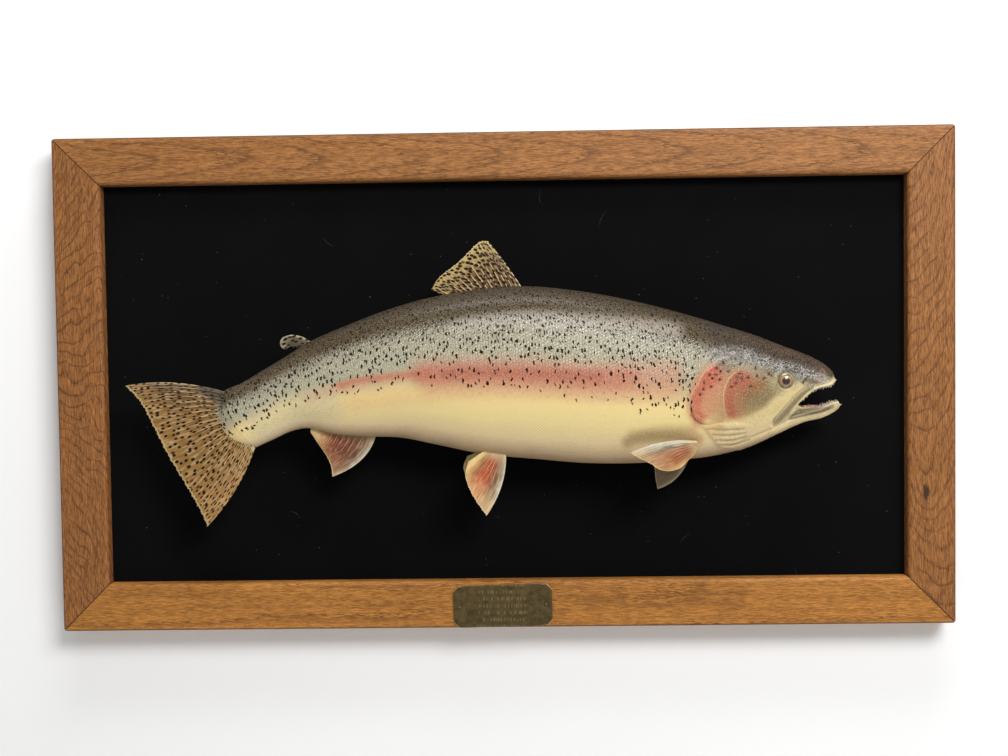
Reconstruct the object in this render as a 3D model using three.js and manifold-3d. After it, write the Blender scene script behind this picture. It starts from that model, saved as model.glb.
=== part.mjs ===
// A trout mounted on a framed velvet board, life size, in millimetres.
// X runs to the right, Z up and Y back into the wall, so the viewer looks along +Y. The origin is the
// centre of the board's back, in the wall plane y = 0.
import * as THREE from "three";
import { mergeVertices } from "three/addons/utils/BufferGeometryUtils.js";
import Module from "manifold-3d";

const wasm = await Module();
wasm.setup();

// Clearance left between two pieces that touch.
const GAP = 0.3;

// The oak frame. LIP_DEPTH is the thickness of the lip in front of the rabbet.
const FRAME_WIDTH = 889;
const FRAME_HEIGHT = 491;
const FRAME_DEPTH = 32;
const RAIL_WIDTH = 47;
const OUTER_ROUND = 2.5;
const SIGHT_ROUND = 4;
const RABBET = 8;
const LIP_DEPTH = 13.7;

// What lies in the rabbet, from front to back, and the batten that bears on the wall.
const VELVET_THICK = 4;
const BOARD_THICK = 6;
const BATTEN_SIZE = [620, 60];
const VELVET_FRONT = -FRAME_DEPTH + LIP_DEPTH + GAP;
const BOARD_FRONT = VELVET_FRONT + VELVET_THICK + GAP;
const BATTEN_FRONT = BOARD_FRONT + BOARD_THICK + GAP;

// Hardware.
const FISH_SCREWS_X = [-60, 110];
const FISH_SCREW = { head: 5, shank: 2.4, sink: 3.2, length: 44 };
const HANGER = { width: 46, height: 11, thick: 1.4, teeth: 7, x: 250, z: 160, screwX: 19 };
const HANGER_SCREW = { head: 2.6, shank: 1.2, sink: 1.1, length: 5 };
const PLATE = { width: 98, height: 41.4, thick: 1.4, clip: 5, x: -3.8, z: -223.4, tilt: 1.4 };
const PLATE_PIN = { head: 1.6, shank: 0.9, rise: 0.9, length: 11, inset: 6 };

// The fish. MID_Y is the plane that halves the body, and the tail swings TAIL_SWING towards the viewer.
// The far flank is pressed flatter than the near one, to lie against the velvet.
const MID_Y = -53.2;
const TAIL_SWING = 9;
const FAR_FLATTENING = 0.2;
const TAIL_BULGE = 7;
const HEAD_KEEL = 0.42;

// Sections of the body from snout to tail: back x and z, belly x and z, and half the thickness.
const SECTIONS = [
  [321, -1, 326.5, -26.4, 3],
  [317, 8, 322, -32, 10],
  [306, 16.5, 308, -38.8, 15],
  [291, 24, 290, -43, 19.5],
  [270, 32, 266, -53.5, 25],
  [243, 42.8, 240, -65, 31.5],
  [211, 53, 208, -73.2, 37],
  [173, 65, 172, -78, 40.5],
  [126, 77.5, 128, -80.6, 43],
  [75, 87.5, 80, -80, 43.5],
  [22, 93, 30, -75.4, 42.5],
  [-28, 90, -18, -70.5, 40],
  [-75, 82.2, -62, -61.2, 36.5],
  [-115, 70.9, -98, -53.5, 32],
  [-152, 57.2, -132, -51.6, 27],
  [-186, 43, -163, -48.8, 21.5],
  [-212, 27.4, -187, -42.9, 16.5],
  [-232, 15.8, -205, -45, 13],
  [-252, 4, -224, -53.2, 10.5],
  [-270.6, -3.9, -240.7, -60.6, 8],
];
const WIDEST = Math.max(...SECTIONS.map((row) => row[4]));
// The body's mesh: points round each ring, and rings that stand closer together towards the snout.
const AROUND = 24;
const RINGS = 29;
const RING_CROWDING = 1.2;

// Side view outlines on the head, as x and z.
const UPPER_LIP = [
  [321.5, -2.8], [313.6, -7.6], [305, -8.8], [297.3, -11.4], [287.5, -19], [281.5, -24.5],
];
const LOWER_LIP = [
  [281.5, -24.5], [286, -27.3], [305, -27.3], [312, -25.8], [317.5, -23.8], [322, -23.4], [327, -26],
];
const JAW_JOINT = [[283, -25.5], [268, -36], [254, -47], [246, -75]];
const GILL_COVER = [
  [214, 20.4], [205.6, 18.4], [192.7, 9.8], [187.4, 0.3], [182, -7.6], [178, -18], [178, -28], [182.5, -35.7],
  [189.5, -39.6], [201, -41], [209.7, -38], [207.6, -22], [208.7, -6], [216, 7], [217.5, 15],
];
const MAXILLA = [
  [296, -3.5], [286.6, -5.8], [276.5, -14.9], [264, -27.2], [257, -36.5], [256.5, -41.6], [261, -42],
  [268.5, -35.5], [278, -24], [286.5, -15.1], [294, -8],
];
const NAPE_CUT = [[226, 70], [213, 10], [203, -30], [191, -43], [199, -57], [209, -67], [220, -90]];
const WAIST_CUT = [[-52, 110], [-38, -90]];
const TAIL_CUT = [[-206, 60], [-166, -75]];

const EYE = { x: 268.6, z: -1.3, radius: 8.8, depth: 5.6, sunk: 2.6 };
const MOUTH = { x: 300, z: -16, length: 27, width: 9.5, height: 13 };
const TONGUE = { x: 299, z: -28.6, length: 14, width: 5.5, height: 3 };
const TOOTH = { radius: 0.8, height: 2.6, inset: 2, count: 5 };

const finish = (color, roughness, metalness = 0) =>
  new THREE.MeshStandardMaterial({ color, roughness, metalness });
const OAK = finish(0x9b6a32, 0.5);
const VELVET = finish(0x0c0b0c, 0.95);
const PLYWOOD = finish(0xb99a6b, 0.7);
const BRASS = finish(0x6e5a33, 0.4, 0.9);
const STEEL = finish(0x9a9a98, 0.35, 0.9);
const FLANK = finish(0x77744f, 0.35);
const CHEEK = finish(0xa06a48, 0.35);
const JAW = finish(0xa79f92, 0.35);
const FIN = finish(0xb98a45, 0.4);
const EYEBALL = finish(0x5c3a20, 0.1);
const MOUTH_FLESH = finish(0xc9a79a, 0.4);

const root = new THREE.Group();

function addPiece(name, geometry, material, parent = root) {
  const mesh = new THREE.Mesh(geometry, material);
  mesh.name = name;
  parent.add(mesh);
  return mesh;
}

// A closed geometry as a manifold-3d solid, turned outside out where a warp has mirrored it.
function solidOf(geometry) {
  const bare = new THREE.BufferGeometry();
  const loose = geometry.index ? geometry.toNonIndexed() : geometry;
  bare.setAttribute("position", loose.getAttribute("position"));
  const merged = mergeVertices(bare, 1e-3);
  const vertProperties = new Float32Array(merged.getAttribute("position").array);
  const triVerts = new Uint32Array(merged.index.array);
  const solid = new wasm.Manifold(new wasm.Mesh({ numProp: 3, vertProperties, triVerts }));
  if (solid.volume() > 0) return solid;
  for (let i = 0; i < triVerts.length; i += 3) {
    [triVerts[i + 1], triVerts[i + 2]] = [triVerts[i + 2], triVerts[i + 1]];
  }
  return new wasm.Manifold(new wasm.Mesh({ numProp: 3, vertProperties, triVerts }));
}

function geometryOf(solid) {
  const mesh = solid.getMesh();
  const geometry = new THREE.BufferGeometry();
  geometry.setAttribute("position", new THREE.BufferAttribute(mesh.vertProperties, 3));
  geometry.setIndex(new THREE.BufferAttribute(mesh.triVerts, 1));
  return geometry;
}

// The bodies of a solid, in order of what the key returns for each one's centre.
function bodiesBy(solid, key) {
  const middle = (body) => {
    const { min, max } = body.boundingBox();
    return key(min.map((low, axis) => (low + max[axis]) / 2));
  };
  return solid.decompose().sort((a, b) => middle(a) - middle(b));
}

// Moves each vertex of a geometry to where the function sends it.
function warp(geometry, move) {
  const position = geometry.getAttribute("position");
  const point = new THREE.Vector3();
  for (let i = 0; i < position.count; i += 1) {
    const moved = move(point.fromBufferAttribute(position, i));
    position.setXYZ(i, moved.x, moved.y, moved.z);
  }
  return geometry;
}

// A side view outline in x and z, extruded along Y from one depth to another.
function prism(outline, yFront = -150, yBack = 20) {
  const shape = new THREE.Shape(outline.map(([x, z]) => new THREE.Vector2(x, z)));
  const geometry = new THREE.ExtrudeGeometry(shape, { depth: yBack - yFront, bevelEnabled: false });
  return solidOf(geometry.rotateX(Math.PI / 2).translate(0, yBack, 0));
}

// A closed outline through the points, smoothed by a spline.
function smooth(outline, steps = 2 * outline.length) {
  const points = outline.map(([x, z]) => new THREE.Vector3(x, z, 0));
  const curve = new THREE.CatmullRomCurve3(points, true);
  return curve.getPoints(steps).slice(0, -1).map((point) => [point.x, point.y]);
}

// The line through the points, moved sideways: to the left of its own direction where the shift is positive.
function shifted(points, shift, closed = false) {
  return points.map(([x, z], i) => {
    const last = points.length - 1;
    const before = closed ? points.at(i - 1) : points[Math.max(i - 1, 0)];
    const after = closed ? points[(i + 1) % points.length] : points[Math.min(i + 1, last)];
    const along = new THREE.Vector2(after[0] - before[0], after[1] - before[1]).normalize();
    return [x - along.y * shift, z + along.x * shift];
  });
}

// A saw cut right through the fish along a line in side view.
function sawCut(points) {
  return prism([...shifted(points, GAP / 2), ...shifted(points, -GAP / 2).reverse()]);
}

// A turned solid on the Y axis, from a profile of radius and distance along +Y.
function turned(profile, sides) {
  const points = profile.map(([radius, y]) => new THREE.Vector2(radius, y));
  return new THREE.LatheGeometry(points, sides);
}

// ---------------------------------------------------------------- frame
// One rail lies along the top edge, `reach` above the centre, mitred at both ends.
function railGeometry(length, reach) {
  const front = -FRAME_DEPTH;
  const profile = new THREE.Shape();
  profile.moveTo(0, 0);
  profile.lineTo(0, front + OUTER_ROUND);
  profile.absarc(OUTER_ROUND, front + OUTER_ROUND, OUTER_ROUND, Math.PI, 1.5 * Math.PI, false);
  profile.lineTo(RAIL_WIDTH - SIGHT_ROUND, front);
  profile.absarc(RAIL_WIDTH - SIGHT_ROUND, front + SIGHT_ROUND, SIGHT_ROUND, -0.5 * Math.PI, 0, false);
  profile.lineTo(RAIL_WIDTH, front + LIP_DEPTH);
  profile.lineTo(RAIL_WIDTH - RABBET, front + LIP_DEPTH);
  profile.lineTo(RAIL_WIDTH - RABBET, 0);
  const bar = new THREE.ExtrudeGeometry(profile, { depth: 1, bevelEnabled: false, curveSegments: 4 });
  return warp(bar, ({ x: inset, y, z: end }) => {
    const half = length / 2 - inset - GAP / 2;
    return new THREE.Vector3(end > 0.5 ? half : -half, y, reach - inset);
  });
}

const plateFrame = new THREE.Matrix4()
  .makeRotationY(-THREE.MathUtils.degToRad(PLATE.tilt))
  .setPosition(PLATE.x, -FRAME_DEPTH - GAP, PLATE.z);

// A nail with a low round head in front of the plate and its point in the rail.
function platePin(side, extra = 0) {
  const { head, shank, rise, length, inset } = PLATE_PIN;
  const face = -PLATE.thick - GAP;
  const profile = [
    [0, face - rise - extra],
    [head * 0.7 + extra, face - rise * 0.7 - extra],
    [head + extra, face + extra],
    [shank + extra, face + extra],
    [shank + extra, face + length - 2],
    [0, face + length + extra],
  ];
  const pin = turned(profile, 10).translate(side * (PLATE.width / 2 - inset), 0, 0);
  return solidOf(pin.applyMatrix4(plateFrame));
}

function addFrame() {
  const rails = [
    ["rail_top", FRAME_WIDTH, FRAME_HEIGHT, 0],
    ["rail_right", FRAME_HEIGHT, FRAME_WIDTH, 1],
    ["rail_bottom", FRAME_WIDTH, FRAME_HEIGHT, 2],
    ["rail_left", FRAME_HEIGHT, FRAME_WIDTH, 3],
  ];
  for (const [name, length, across, quarters] of rails) {
    const geometry = railGeometry(length, across / 2).rotateY((quarters * Math.PI) / 2);
    let rail = solidOf(geometry);
    if (name === "rail_bottom") {
      for (const side of [-1, 1]) rail = rail.subtract(platePin(side, GAP));
    }
    addPiece(name, geometryOf(rail), OAK);
  }
}

function addPlate() {
  const { width, height, thick, clip } = PLATE;
  const [w, h] = [width / 2, height / 2];
  const outline = [
    [-w + clip, -h], [w - clip, -h], [w, -h + clip], [w, h - clip],
    [w - clip, h], [-w + clip, h], [-w, h - clip], [-w, -h + clip],
  ];
  const shape = new THREE.Shape(outline.map(([x, z]) => new THREE.Vector2(x, z)));
  const sheet = new THREE.ExtrudeGeometry(shape, { depth: thick, bevelEnabled: false });
  let plate = solidOf(sheet.rotateX(Math.PI / 2).applyMatrix4(plateFrame));
  for (const side of [-1, 1]) plate = plate.subtract(platePin(side, GAP));
  addPiece("name_plate", geometryOf(plate), BRASS);
  addPiece("plate_pin_left", geometryOf(platePin(-1)), BRASS);
  addPiece("plate_pin_right", geometryOf(platePin(1)), BRASS);
}

// ---------------------------------------------------------------- board and its hardware
// A countersunk screw driven along -Y, with its head flush at y = 0.
function screwSolid({ head, shank, sink, length }, extra = 0) {
  const profile = [
    [0, 0],
    [head + extra, 0],
    [shank + extra, -sink],
    [shank + extra, -length + 3],
    [0, -length - extra],
  ];
  return solidOf(turned(profile, 10));
}

function slab(width, height, yFront, yBack) {
  const box = new THREE.BoxGeometry(width, yBack - yFront, height);
  return solidOf(box.translate(0, (yFront + yBack) / 2, 0));
}

const opening = [FRAME_WIDTH, FRAME_HEIGHT].map((size) => size - 2 * (RAIL_WIDTH - RABBET + GAP));
const hangerY = BATTEN_FRONT + HANGER.thick;
const hangerScrews = [-1, 1].flatMap((side) =>
  [-1, 1].map((end) => [side * HANGER.x + end * HANGER.screwX, hangerY, HANGER.z]),
);
const fishScrews = FISH_SCREWS_X.map((x) => [x, 0, 0]);

// Cuts the clearance holes of a set of screws.
function drilled(solid, screw, places) {
  return places.reduce((left, place) => left.subtract(screwSolid(screw, GAP).translate(place)), solid);
}

function addBoard() {
  const velvet = slab(...opening, VELVET_FRONT, VELVET_FRONT + VELVET_THICK);
  const board = slab(...opening, BOARD_FRONT, BOARD_FRONT + BOARD_THICK);
  const batten = slab(...BATTEN_SIZE, BATTEN_FRONT, 0);
  addPiece("velvet_panel", geometryOf(drilled(velvet, FISH_SCREW, fishScrews)), VELVET);
  const drilledBoard = drilled(drilled(board, FISH_SCREW, fishScrews), HANGER_SCREW, hangerScrews);
  addPiece("backing_board", geometryOf(drilledBoard), PLYWOOD);
  addPiece("back_batten", geometryOf(drilled(batten, FISH_SCREW, fishScrews)), PLYWOOD);
  fishScrews.forEach((place, i) => {
    const screw = screwSolid(FISH_SCREW).translate(place);
    addPiece(`fish_screw_${i + 1}`, geometryOf(screw), STEEL);
  });
}

// A steel strip with saw teeth along its lower edge, in the hollow behind the board.
function addHangers() {
  const { width, height, thick, teeth, x, z } = HANGER;
  const pitch = (width - 20) / teeth;
  const notches = [];
  for (let i = 0; i < teeth; i += 1) {
    const left = -width / 2 + 10 + i * pitch;
    notches.push([left, -height / 2], [left + pitch / 2, -height / 2 + 2.2]);
  }
  const outline = [
    [-width / 2, height / 2], [-width / 2, -height / 2],
    ...notches,
    [width / 2 - 10, -height / 2], [width / 2, -height / 2], [width / 2, height / 2],
  ];
  for (const [name, side] of [["left", 1], ["right", -1]]) {
    const strip = prism(outline, BATTEN_FRONT, BATTEN_FRONT + thick).translate([side * x, 0, z]);
    const cut = drilled(strip, HANGER_SCREW, hangerScrews);
    addPiece(`hanger_${name}`, geometryOf(cut), STEEL);
  }
  hangerScrews.forEach((place, i) => {
    const screw = screwSolid(HANGER_SCREW).translate(place);
    addPiece(`hanger_screw_${i + 1}`, geometryOf(screw), STEEL);
  });
}

// ---------------------------------------------------------------- body
const lineOf = (pick) => new THREE.CatmullRomCurve3(SECTIONS.map(pick), false, "catmullrom", 0.5);
const backLine = lineOf(([x, z]) => new THREE.Vector3(x, 0, z));
const bellyLine = lineOf(([, , x, z]) => new THREE.Vector3(x, 0, z));
const widthLine = lineOf(([, , , , half]) => new THREE.Vector3(half, 0, 0));
const { smoothstep, lerp } = THREE.MathUtils;

// The plane of one section, `t` of the way from snout to tail.
function sectionAt(t) {
  const back = backLine.getPoint(t);
  const belly = bellyLine.getPoint(t);
  const up = back.clone().sub(belly).normalize();
  const tailward = new THREE.Vector3(-up.z, 0, up.x);
  const centre = back.clone().add(belly).multiplyScalar(0.5);
  centre.y = MID_Y - TAIL_SWING * smoothstep(t, 0.6, 1);
  return { up, tailward, centre, tall: back.distanceTo(belly) / 2, wide: widthLine.getPoint(t).x };
}

// A point of the skin: angle 0 is the back, 90 degrees the near flank and 180 the belly. `inward` below 1
// lies inside the skin, `grow` adds millimetres all round, and `flank` stretches the body across.
function skinPoint(t, angle, { inward = 1, grow = 0, flank = 1 } = {}) {
  const { up, tailward, centre, tall, wide } = sectionAt(t);
  const rise = Math.cos(angle);
  const fullness = lerp(0.84, 1, smoothstep(t, 0.5, 1));
  const keel = HEAD_KEEL * (1 - smoothstep(t, 0.2, 0.42));
  const spread = Math.abs(Math.sin(angle)) ** fullness * (1 - keel * Math.max(-rise, 0) ** 1.5);
  const near = Math.sin(angle) > 0;
  const reach = near ? wide : wide * (1 - FAR_FLATTENING * (wide / WIDEST) ** 2);
  const bulge = TAIL_BULGE * smoothstep(t, 0.9, 1) * (1 - (inward * rise) ** 2);
  return centre
    .addScaledVector(up, (tall + grow) * rise * inward)
    .addScaledVector(tailward, bulge + (grow * (t - 0.5)) / 0.5)
    .add(new THREE.Vector3(0, (near ? -1 : 1) * (reach * flank + grow) * spread * inward, 0));
}

function bodySolid(options = {}) {
  const tube = new THREE.CylinderGeometry(1, 1, 1, AROUND, RINGS);
  return solidOf(
    warp(tube, ({ x, y, z }) => {
      const inward = Math.min(Math.hypot(x, z), 1);
      return skinPoint((y + 0.5) ** RING_CROWDING, Math.atan2(x, z), { ...options, inward });
    }),
  );
}

const ellipsoid = (length, width, height) => new THREE.SphereGeometry(1, 14, 9).scale(length, width, height);

// How far the near skin lies in front of the middle plane at one place of the side view of the head.
function headSkin(x, z) {
  let t = 0;
  while (sectionAt(t).centre.x > x) t += 0.002;
  const { up, centre, tall } = sectionAt(t);
  const rise = THREE.MathUtils.clamp((z - centre.z) / (up.z * tall), -1, 1);
  return MID_Y - skinPoint(t, Math.acos(rise)).y;
}

// The same head feature on both sides: `side` is 1 for the near flank and -1 for the far one.
function eyeSolid(side, extra = 0) {
  const { x, z, radius, depth, sunk } = EYE;
  const ball = ellipsoid(radius + extra, depth + extra, radius + extra);
  const reach = (headSkin(x, z) - sunk) * (side > 0 ? 1 : 0.94);
  return solidOf(ball.translate(x, MID_Y - side * reach, z));
}

function tongueSolid(extra = 0) {
  const { x, z, length, width, height } = TONGUE;
  const bump = ellipsoid(length + extra, width + extra, height + extra);
  return solidOf(bump.rotateY(0.05).translate(x, MID_Y, z));
}

// A row of teeth along a lip, on both sides of the jaw, pointing the way of `down`.
function teeth(lip, down) {
  const { radius, height, inset, count } = TOOTH;
  const line = new THREE.CatmullRomCurve3(lip.map(([x, z]) => new THREE.Vector3(x, 0, z)));
  const cones = [];
  for (let i = 0; i < count; i += 1) {
    const place = line.getPoint(0.12 + (0.6 * i) / count);
    for (const side of [-1, 1]) {
      const cone = new THREE.ConeGeometry(radius, height, 5).rotateX((-down * Math.PI) / 2);
      const y = MID_Y - side * (headSkin(place.x, place.z) - inset);
      cones.push(solidOf(cone.translate(place.x, y, place.z - (down * height) / 8)));
    }
  }
  return cones;
}

function addBody() {
  const flesh = bodySolid();
  const inner = bodySolid({ flank: 0.88 });
  const innerClear = bodySolid({ flank: 0.89 });
  const proud = bodySolid({ flank: 1.05 });
  const cover = smooth(GILL_COVER);
  const strip = smooth(MAXILLA);
  const wider = (outline) => {
    const turn = THREE.ShapeUtils.isClockWise(outline.map(([x, z]) => new THREE.Vector2(x, z))) ? 1 : -1;
    return prism(shifted(outline, turn * GAP, true));
  };

  const gape = prism([...UPPER_LIP, ...LOWER_LIP.slice(1), [345, -26], [345, -1]]);
  const hollow = solidOf(
    ellipsoid(MOUTH.length, MOUTH.width, MOUTH.height).translate(MOUTH.x, MID_Y, MOUTH.z),
  );
  const sockets = [1, -1].map((side) => eyeSolid(side, GAP));
  const recess = wider(cover).add(wider(strip)).subtract(inner);
  let bulk = flesh.subtract(gape).subtract(hollow).subtract(recess).subtract(tongueSolid(GAP));
  for (const cut of [JAW_JOINT, NAPE_CUT, WAIST_CUT, TAIL_CUT]) bulk = bulk.subtract(sawCut(cut));
  for (const socket of sockets) bulk = bulk.subtract(socket);
  bulk = drilled(bulk, FISH_SCREW, fishScrews);

  const [stalk, rear, front, ...headEnd] = bodiesBy(bulk, ([x]) => x);
  const [jaw, skull] = headEnd.sort((a, b) => a.volume() - b.volume());
  const [upper, lower] = [skull, jaw].map((bone, i) => {
    const row = i === 0 ? teeth(UPPER_LIP, 1) : teeth([...LOWER_LIP].reverse(), -1);
    return row.reduce((sum, tooth) => sum.add(tooth), bone);
  });
  addPiece("head", geometryOf(upper), CHEEK);
  addPiece("lower_jaw", geometryOf(lower), JAW);
  addPiece("tongue", geometryOf(tongueSolid()), MOUTH_FLESH);
  addPiece("trunk_front", geometryOf(front), FLANK);
  addPiece("trunk_rear", geometryOf(rear), FLANK);
  addPiece("tail_stalk", geometryOf(stalk), FLANK);

  const covers = bodiesBy(flesh.intersect(prism(cover)).subtract(innerClear), ([, y]) => y);
  const strips = bodiesBy(proud.intersect(prism(strip)).subtract(innerClear), ([, y]) => y);
  for (const [i, side] of ["near", "far"].entries()) {
    addPiece(`gill_cover_${side}`, geometryOf(covers[i]), CHEEK);
    addPiece(`maxilla_${side}`, geometryOf(strips[i]), JAW);
    addPiece(`eye_${side}`, geometryOf(eyeSolid(i === 0 ? 1 : -1)), EYEBALL);
  }
}

// ---------------------------------------------------------------- fins
const FIN_STEPS = 4;

// A fin is a fan of rays from a root line to a line of tips. Its first ray bends by `bowFirst` and its last
// by `bowLast`, it thins from the root to the edge, and `curl` carries the edge out of its plane.
function finSolid({ root: rootPoints, tips, bowFirst, bowLast, thick, edge, curl = 0, rays }) {
  const vector = ([x, y, z]) => new THREE.Vector3(x, y, z);
  const rootLine = new THREE.CatmullRomCurve3(rootPoints.map(vector));
  const tipLine = new THREE.CatmullRomCurve3(tips.map(vector));
  const [first, last] = [rootLine.getPoint(0), rootLine.getPoint(1)];
  const across = last.clone().sub(first).cross(tipLine.getPoint(0.5).sub(first)).normalize();
  if (across.y > 0) across.negate();
  const sheet = new THREE.BoxGeometry(1, 1, 1, rays, FIN_STEPS, 1);
  return solidOf(
    warp(sheet, ({ x, y, z }) => {
      const [along, out] = [x + 0.5, y + 0.5];
      const start = rootLine.getPoint(along);
      const end = tipLine.getPoint(along);
      const bow = vector(bowFirst).lerp(vector(bowLast), along);
      const bend = start.clone().add(end).multiplyScalar(0.5).add(bow);
      const ray = new THREE.QuadraticBezierCurve3(start, bend, end);
      const offset = z * lerp(thick, edge, out) + curl * out * out;
      return ray.getPoint(out).addScaledVector(across, offset);
    }),
  );
}

const TAIL_Y = MID_Y - TAIL_SWING;
const FINS = {
  dorsal_fin: {
    root: [[22, MID_Y, 87], [-16, MID_Y, 86], [-53.5, MID_Y, 83]],
    tips: [[-13.5, -52, 137.4], [-23, -52, 135.8], [-41.5, -52, 118], [-60.5, -53, 103], [-68.5, -53, 91]],
    bowFirst: [2, 0, 1],
    bowLast: [0, 0, 0],
    thick: 3,
    edge: 0.8,
    rays: 11,
  },
  adipose_fin: {
    root: [[-185, -56, 40.4], [-190.5, -56, 37.8], [-195.5, -56, 34]],
    tips: [[-206, -57.5, 48.6], [-213, -57.5, 46.3], [-216, -57.5, 41.5], [-215, -57.5, 37], [-211.5, -57.5, 34.6]],
    bowFirst: [1, 0, 4.5],
    bowLast: [1, 0, 6],
    thick: 4,
    edge: 2,
    rays: 6,
  },
  anal_fin: {
    root: [[-123.6, -54, -46], [-157, -55, -45], [-187, -57, -39]],
    tips: [[-168.2, -57, -90.4], [-169.3, -57, -80], [-173, -58, -70], [-180, -59, -58.5], [-188, -59, -46]],
    bowFirst: [16, 0, -9],
    bowLast: [0, 0, 0],
    thick: 3,
    edge: 0.8,
    rays: 10,
  },
  caudal_fin: {
    root: [[-264, TAIL_Y, -7], [-262, TAIL_Y, -24], [-253, TAIL_Y, -41], [-240, TAIL_Y, -56]],
    tips: [
      [-366, -67, 1.6], [-351.3, -68, -15], [-339.2, -68, -39], [-325.5, -68, -67],
      [-308, -68, -98], [-296, -68, -120], [-289.2, -67, -136.6],
    ],
    bowFirst: [-4, 0, 13],
    bowLast: [9.5, 0, -6],
    thick: 6,
    edge: 1,
    rays: 18,
  },
  pelvic_fin_near: {
    root: [[2, -66, -67], [-8, -66, -66], [-17, -66, -64]],
    tips: [[-17.5, -80, -127], [-26, -79, -115], [-33.2, -78, -102], [-37.4, -75, -88], [-34.5, -71, -75]],
    bowFirst: [11, 0, -2],
    bowLast: [-2, -1, -2],
    thick: 3,
    edge: 0.8,
    curl: -1.5,
    rays: 9,
  },
  pelvic_fin_far: {
    root: [[2, -42, -67], [-8, -42, -66], [-17, -42, -64]],
    tips: [[-22, -33, -120], [-31, -33.5, -108], [-38, -34, -96], [-41, -36, -84], [-37, -38, -73]],
    bowFirst: [11, 0, -2],
    bowLast: [-2, 1, -2],
    thick: 3,
    edge: 0.8,
    curl: 1.5,
    rays: 9,
  },
  pectoral_fin_near: {
    root: [[183, -83.5, -57], [185, -80, -63], [180, -73.5, -72]],
    tips: [
      [116.3, -99, -65.1], [126, -99, -70.6], [136.6, -98, -76], [144, -97, -81.1],
      [154.5, -94, -83.4], [165.6, -89, -80.6], [173, -83, -74.5],
    ],
    bowFirst: [0, -4, 9],
    bowLast: [0, -2, 0],
    thick: 3.4,
    edge: 0.8,
    curl: 2,
    rays: 10,
  },
  pectoral_fin_far: {
    root: [[185, -37, -65], [181, -37, -63.5], [177, -38, -61.5]],
    tips: [[151, -25, -109.5], [149.5, -24, -101], [148.6, -24, -92], [148.5, -25, -83], [151, -27, -75]],
    bowFirst: [11, 0, -14],
    bowLast: [-2, 1, -2],
    thick: 3.4,
    edge: 0.8,
    curl: 1.2,
    rays: 8,
  },
};

function addFins() {
  const clear = bodySolid({ grow: GAP });
  for (const [name, fan] of Object.entries(FINS)) {
    const standing = bodiesBy(finSolid(fan).subtract(clear), () => 0);
    const blade = standing.reduce((best, body) => (body.volume() > best.volume() ? body : best));
    addPiece(name, geometryOf(blade), FIN);
  }
}

addFrame();
addPlate();
addBoard();
addHangers();
addBody();
addFins();

export default root;
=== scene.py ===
import math

import bmesh
import bpy
import numpy as np
from mathutils import Matrix, Vector


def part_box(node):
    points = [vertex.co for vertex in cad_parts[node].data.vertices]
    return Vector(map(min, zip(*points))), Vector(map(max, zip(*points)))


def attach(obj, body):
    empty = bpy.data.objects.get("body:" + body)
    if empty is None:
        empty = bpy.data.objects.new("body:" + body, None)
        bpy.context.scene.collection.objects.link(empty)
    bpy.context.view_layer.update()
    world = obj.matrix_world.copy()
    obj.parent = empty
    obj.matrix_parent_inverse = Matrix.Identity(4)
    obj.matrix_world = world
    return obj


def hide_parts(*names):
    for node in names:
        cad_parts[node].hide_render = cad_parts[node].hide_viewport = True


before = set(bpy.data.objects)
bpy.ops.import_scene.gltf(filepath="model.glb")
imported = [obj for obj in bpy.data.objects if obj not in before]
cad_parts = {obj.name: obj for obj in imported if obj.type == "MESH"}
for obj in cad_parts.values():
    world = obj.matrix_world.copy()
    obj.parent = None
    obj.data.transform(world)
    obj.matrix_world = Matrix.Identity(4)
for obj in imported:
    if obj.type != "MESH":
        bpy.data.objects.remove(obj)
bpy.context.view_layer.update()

MM = 0.001

# ------------------------------------------------------------------ oak frame
# Four oak rails, mitred and glued at the corners and sanded round on every front edge, then stained
# golden brown and oiled. The rabbet behind the sight edge holds the velvet panel and its board.
OUTER_ROUND = 2.6 * MM
SIGHT_ROUND = 4 * MM
CORNER_ROUND = 4 * MM
RABBET = 8 * MM
LIP_DEPTH = 13.7 * MM
MITRE_GAP = 0.12 * MM
MITRE_REACH = 59 * MM


def tint(red, green, blue):
    """A colour given in 0 to 255, as the linear light that a finish works in."""
    mixed = (red, green, blue)
    return tuple(((c / 255 + 0.055) / 1.055) ** 2.4 if c > 10 else c / 255 / 12.92 for c in mixed)


class Value:
    """A mask, height or colour in a finish. Sums and products of masks are written as they are on paper."""

    def __init__(self, finish, socket):
        self.finish = finish
        self.socket = socket

    def maths(self, operation, *others):
        return self.finish.node("ShaderNodeMath", {"operation": operation}, [self, *others])

    def __add__(self, other):
        return self.maths("ADD", other)

    def __sub__(self, other):
        return self.maths("SUBTRACT", other)

    def __mul__(self, other):
        return self.maths("MULTIPLY", other)

    def __truediv__(self, other):
        return self.maths("DIVIDE", other)

    def __rsub__(self, other):
        return self.finish.node("ShaderNodeMath", {"operation": "SUBTRACT"}, [other, self])

    __radd__ = __add__
    __rmul__ = __mul__

    def clear_of(self, low, high):
        """0 below `low`, 1 above `high` and smooth between. With `low` above `high` it falls."""
        settings = {"interpolation_type": "SMOOTHSTEP"}
        sockets = {"Value": self, "From Min": min(low, high), "From Max": max(low, high)}
        sockets.update({"To Min": float(low > high), "To Max": float(low < high)})
        return self.finish.node("ShaderNodeMapRange", settings, sockets)


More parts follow.
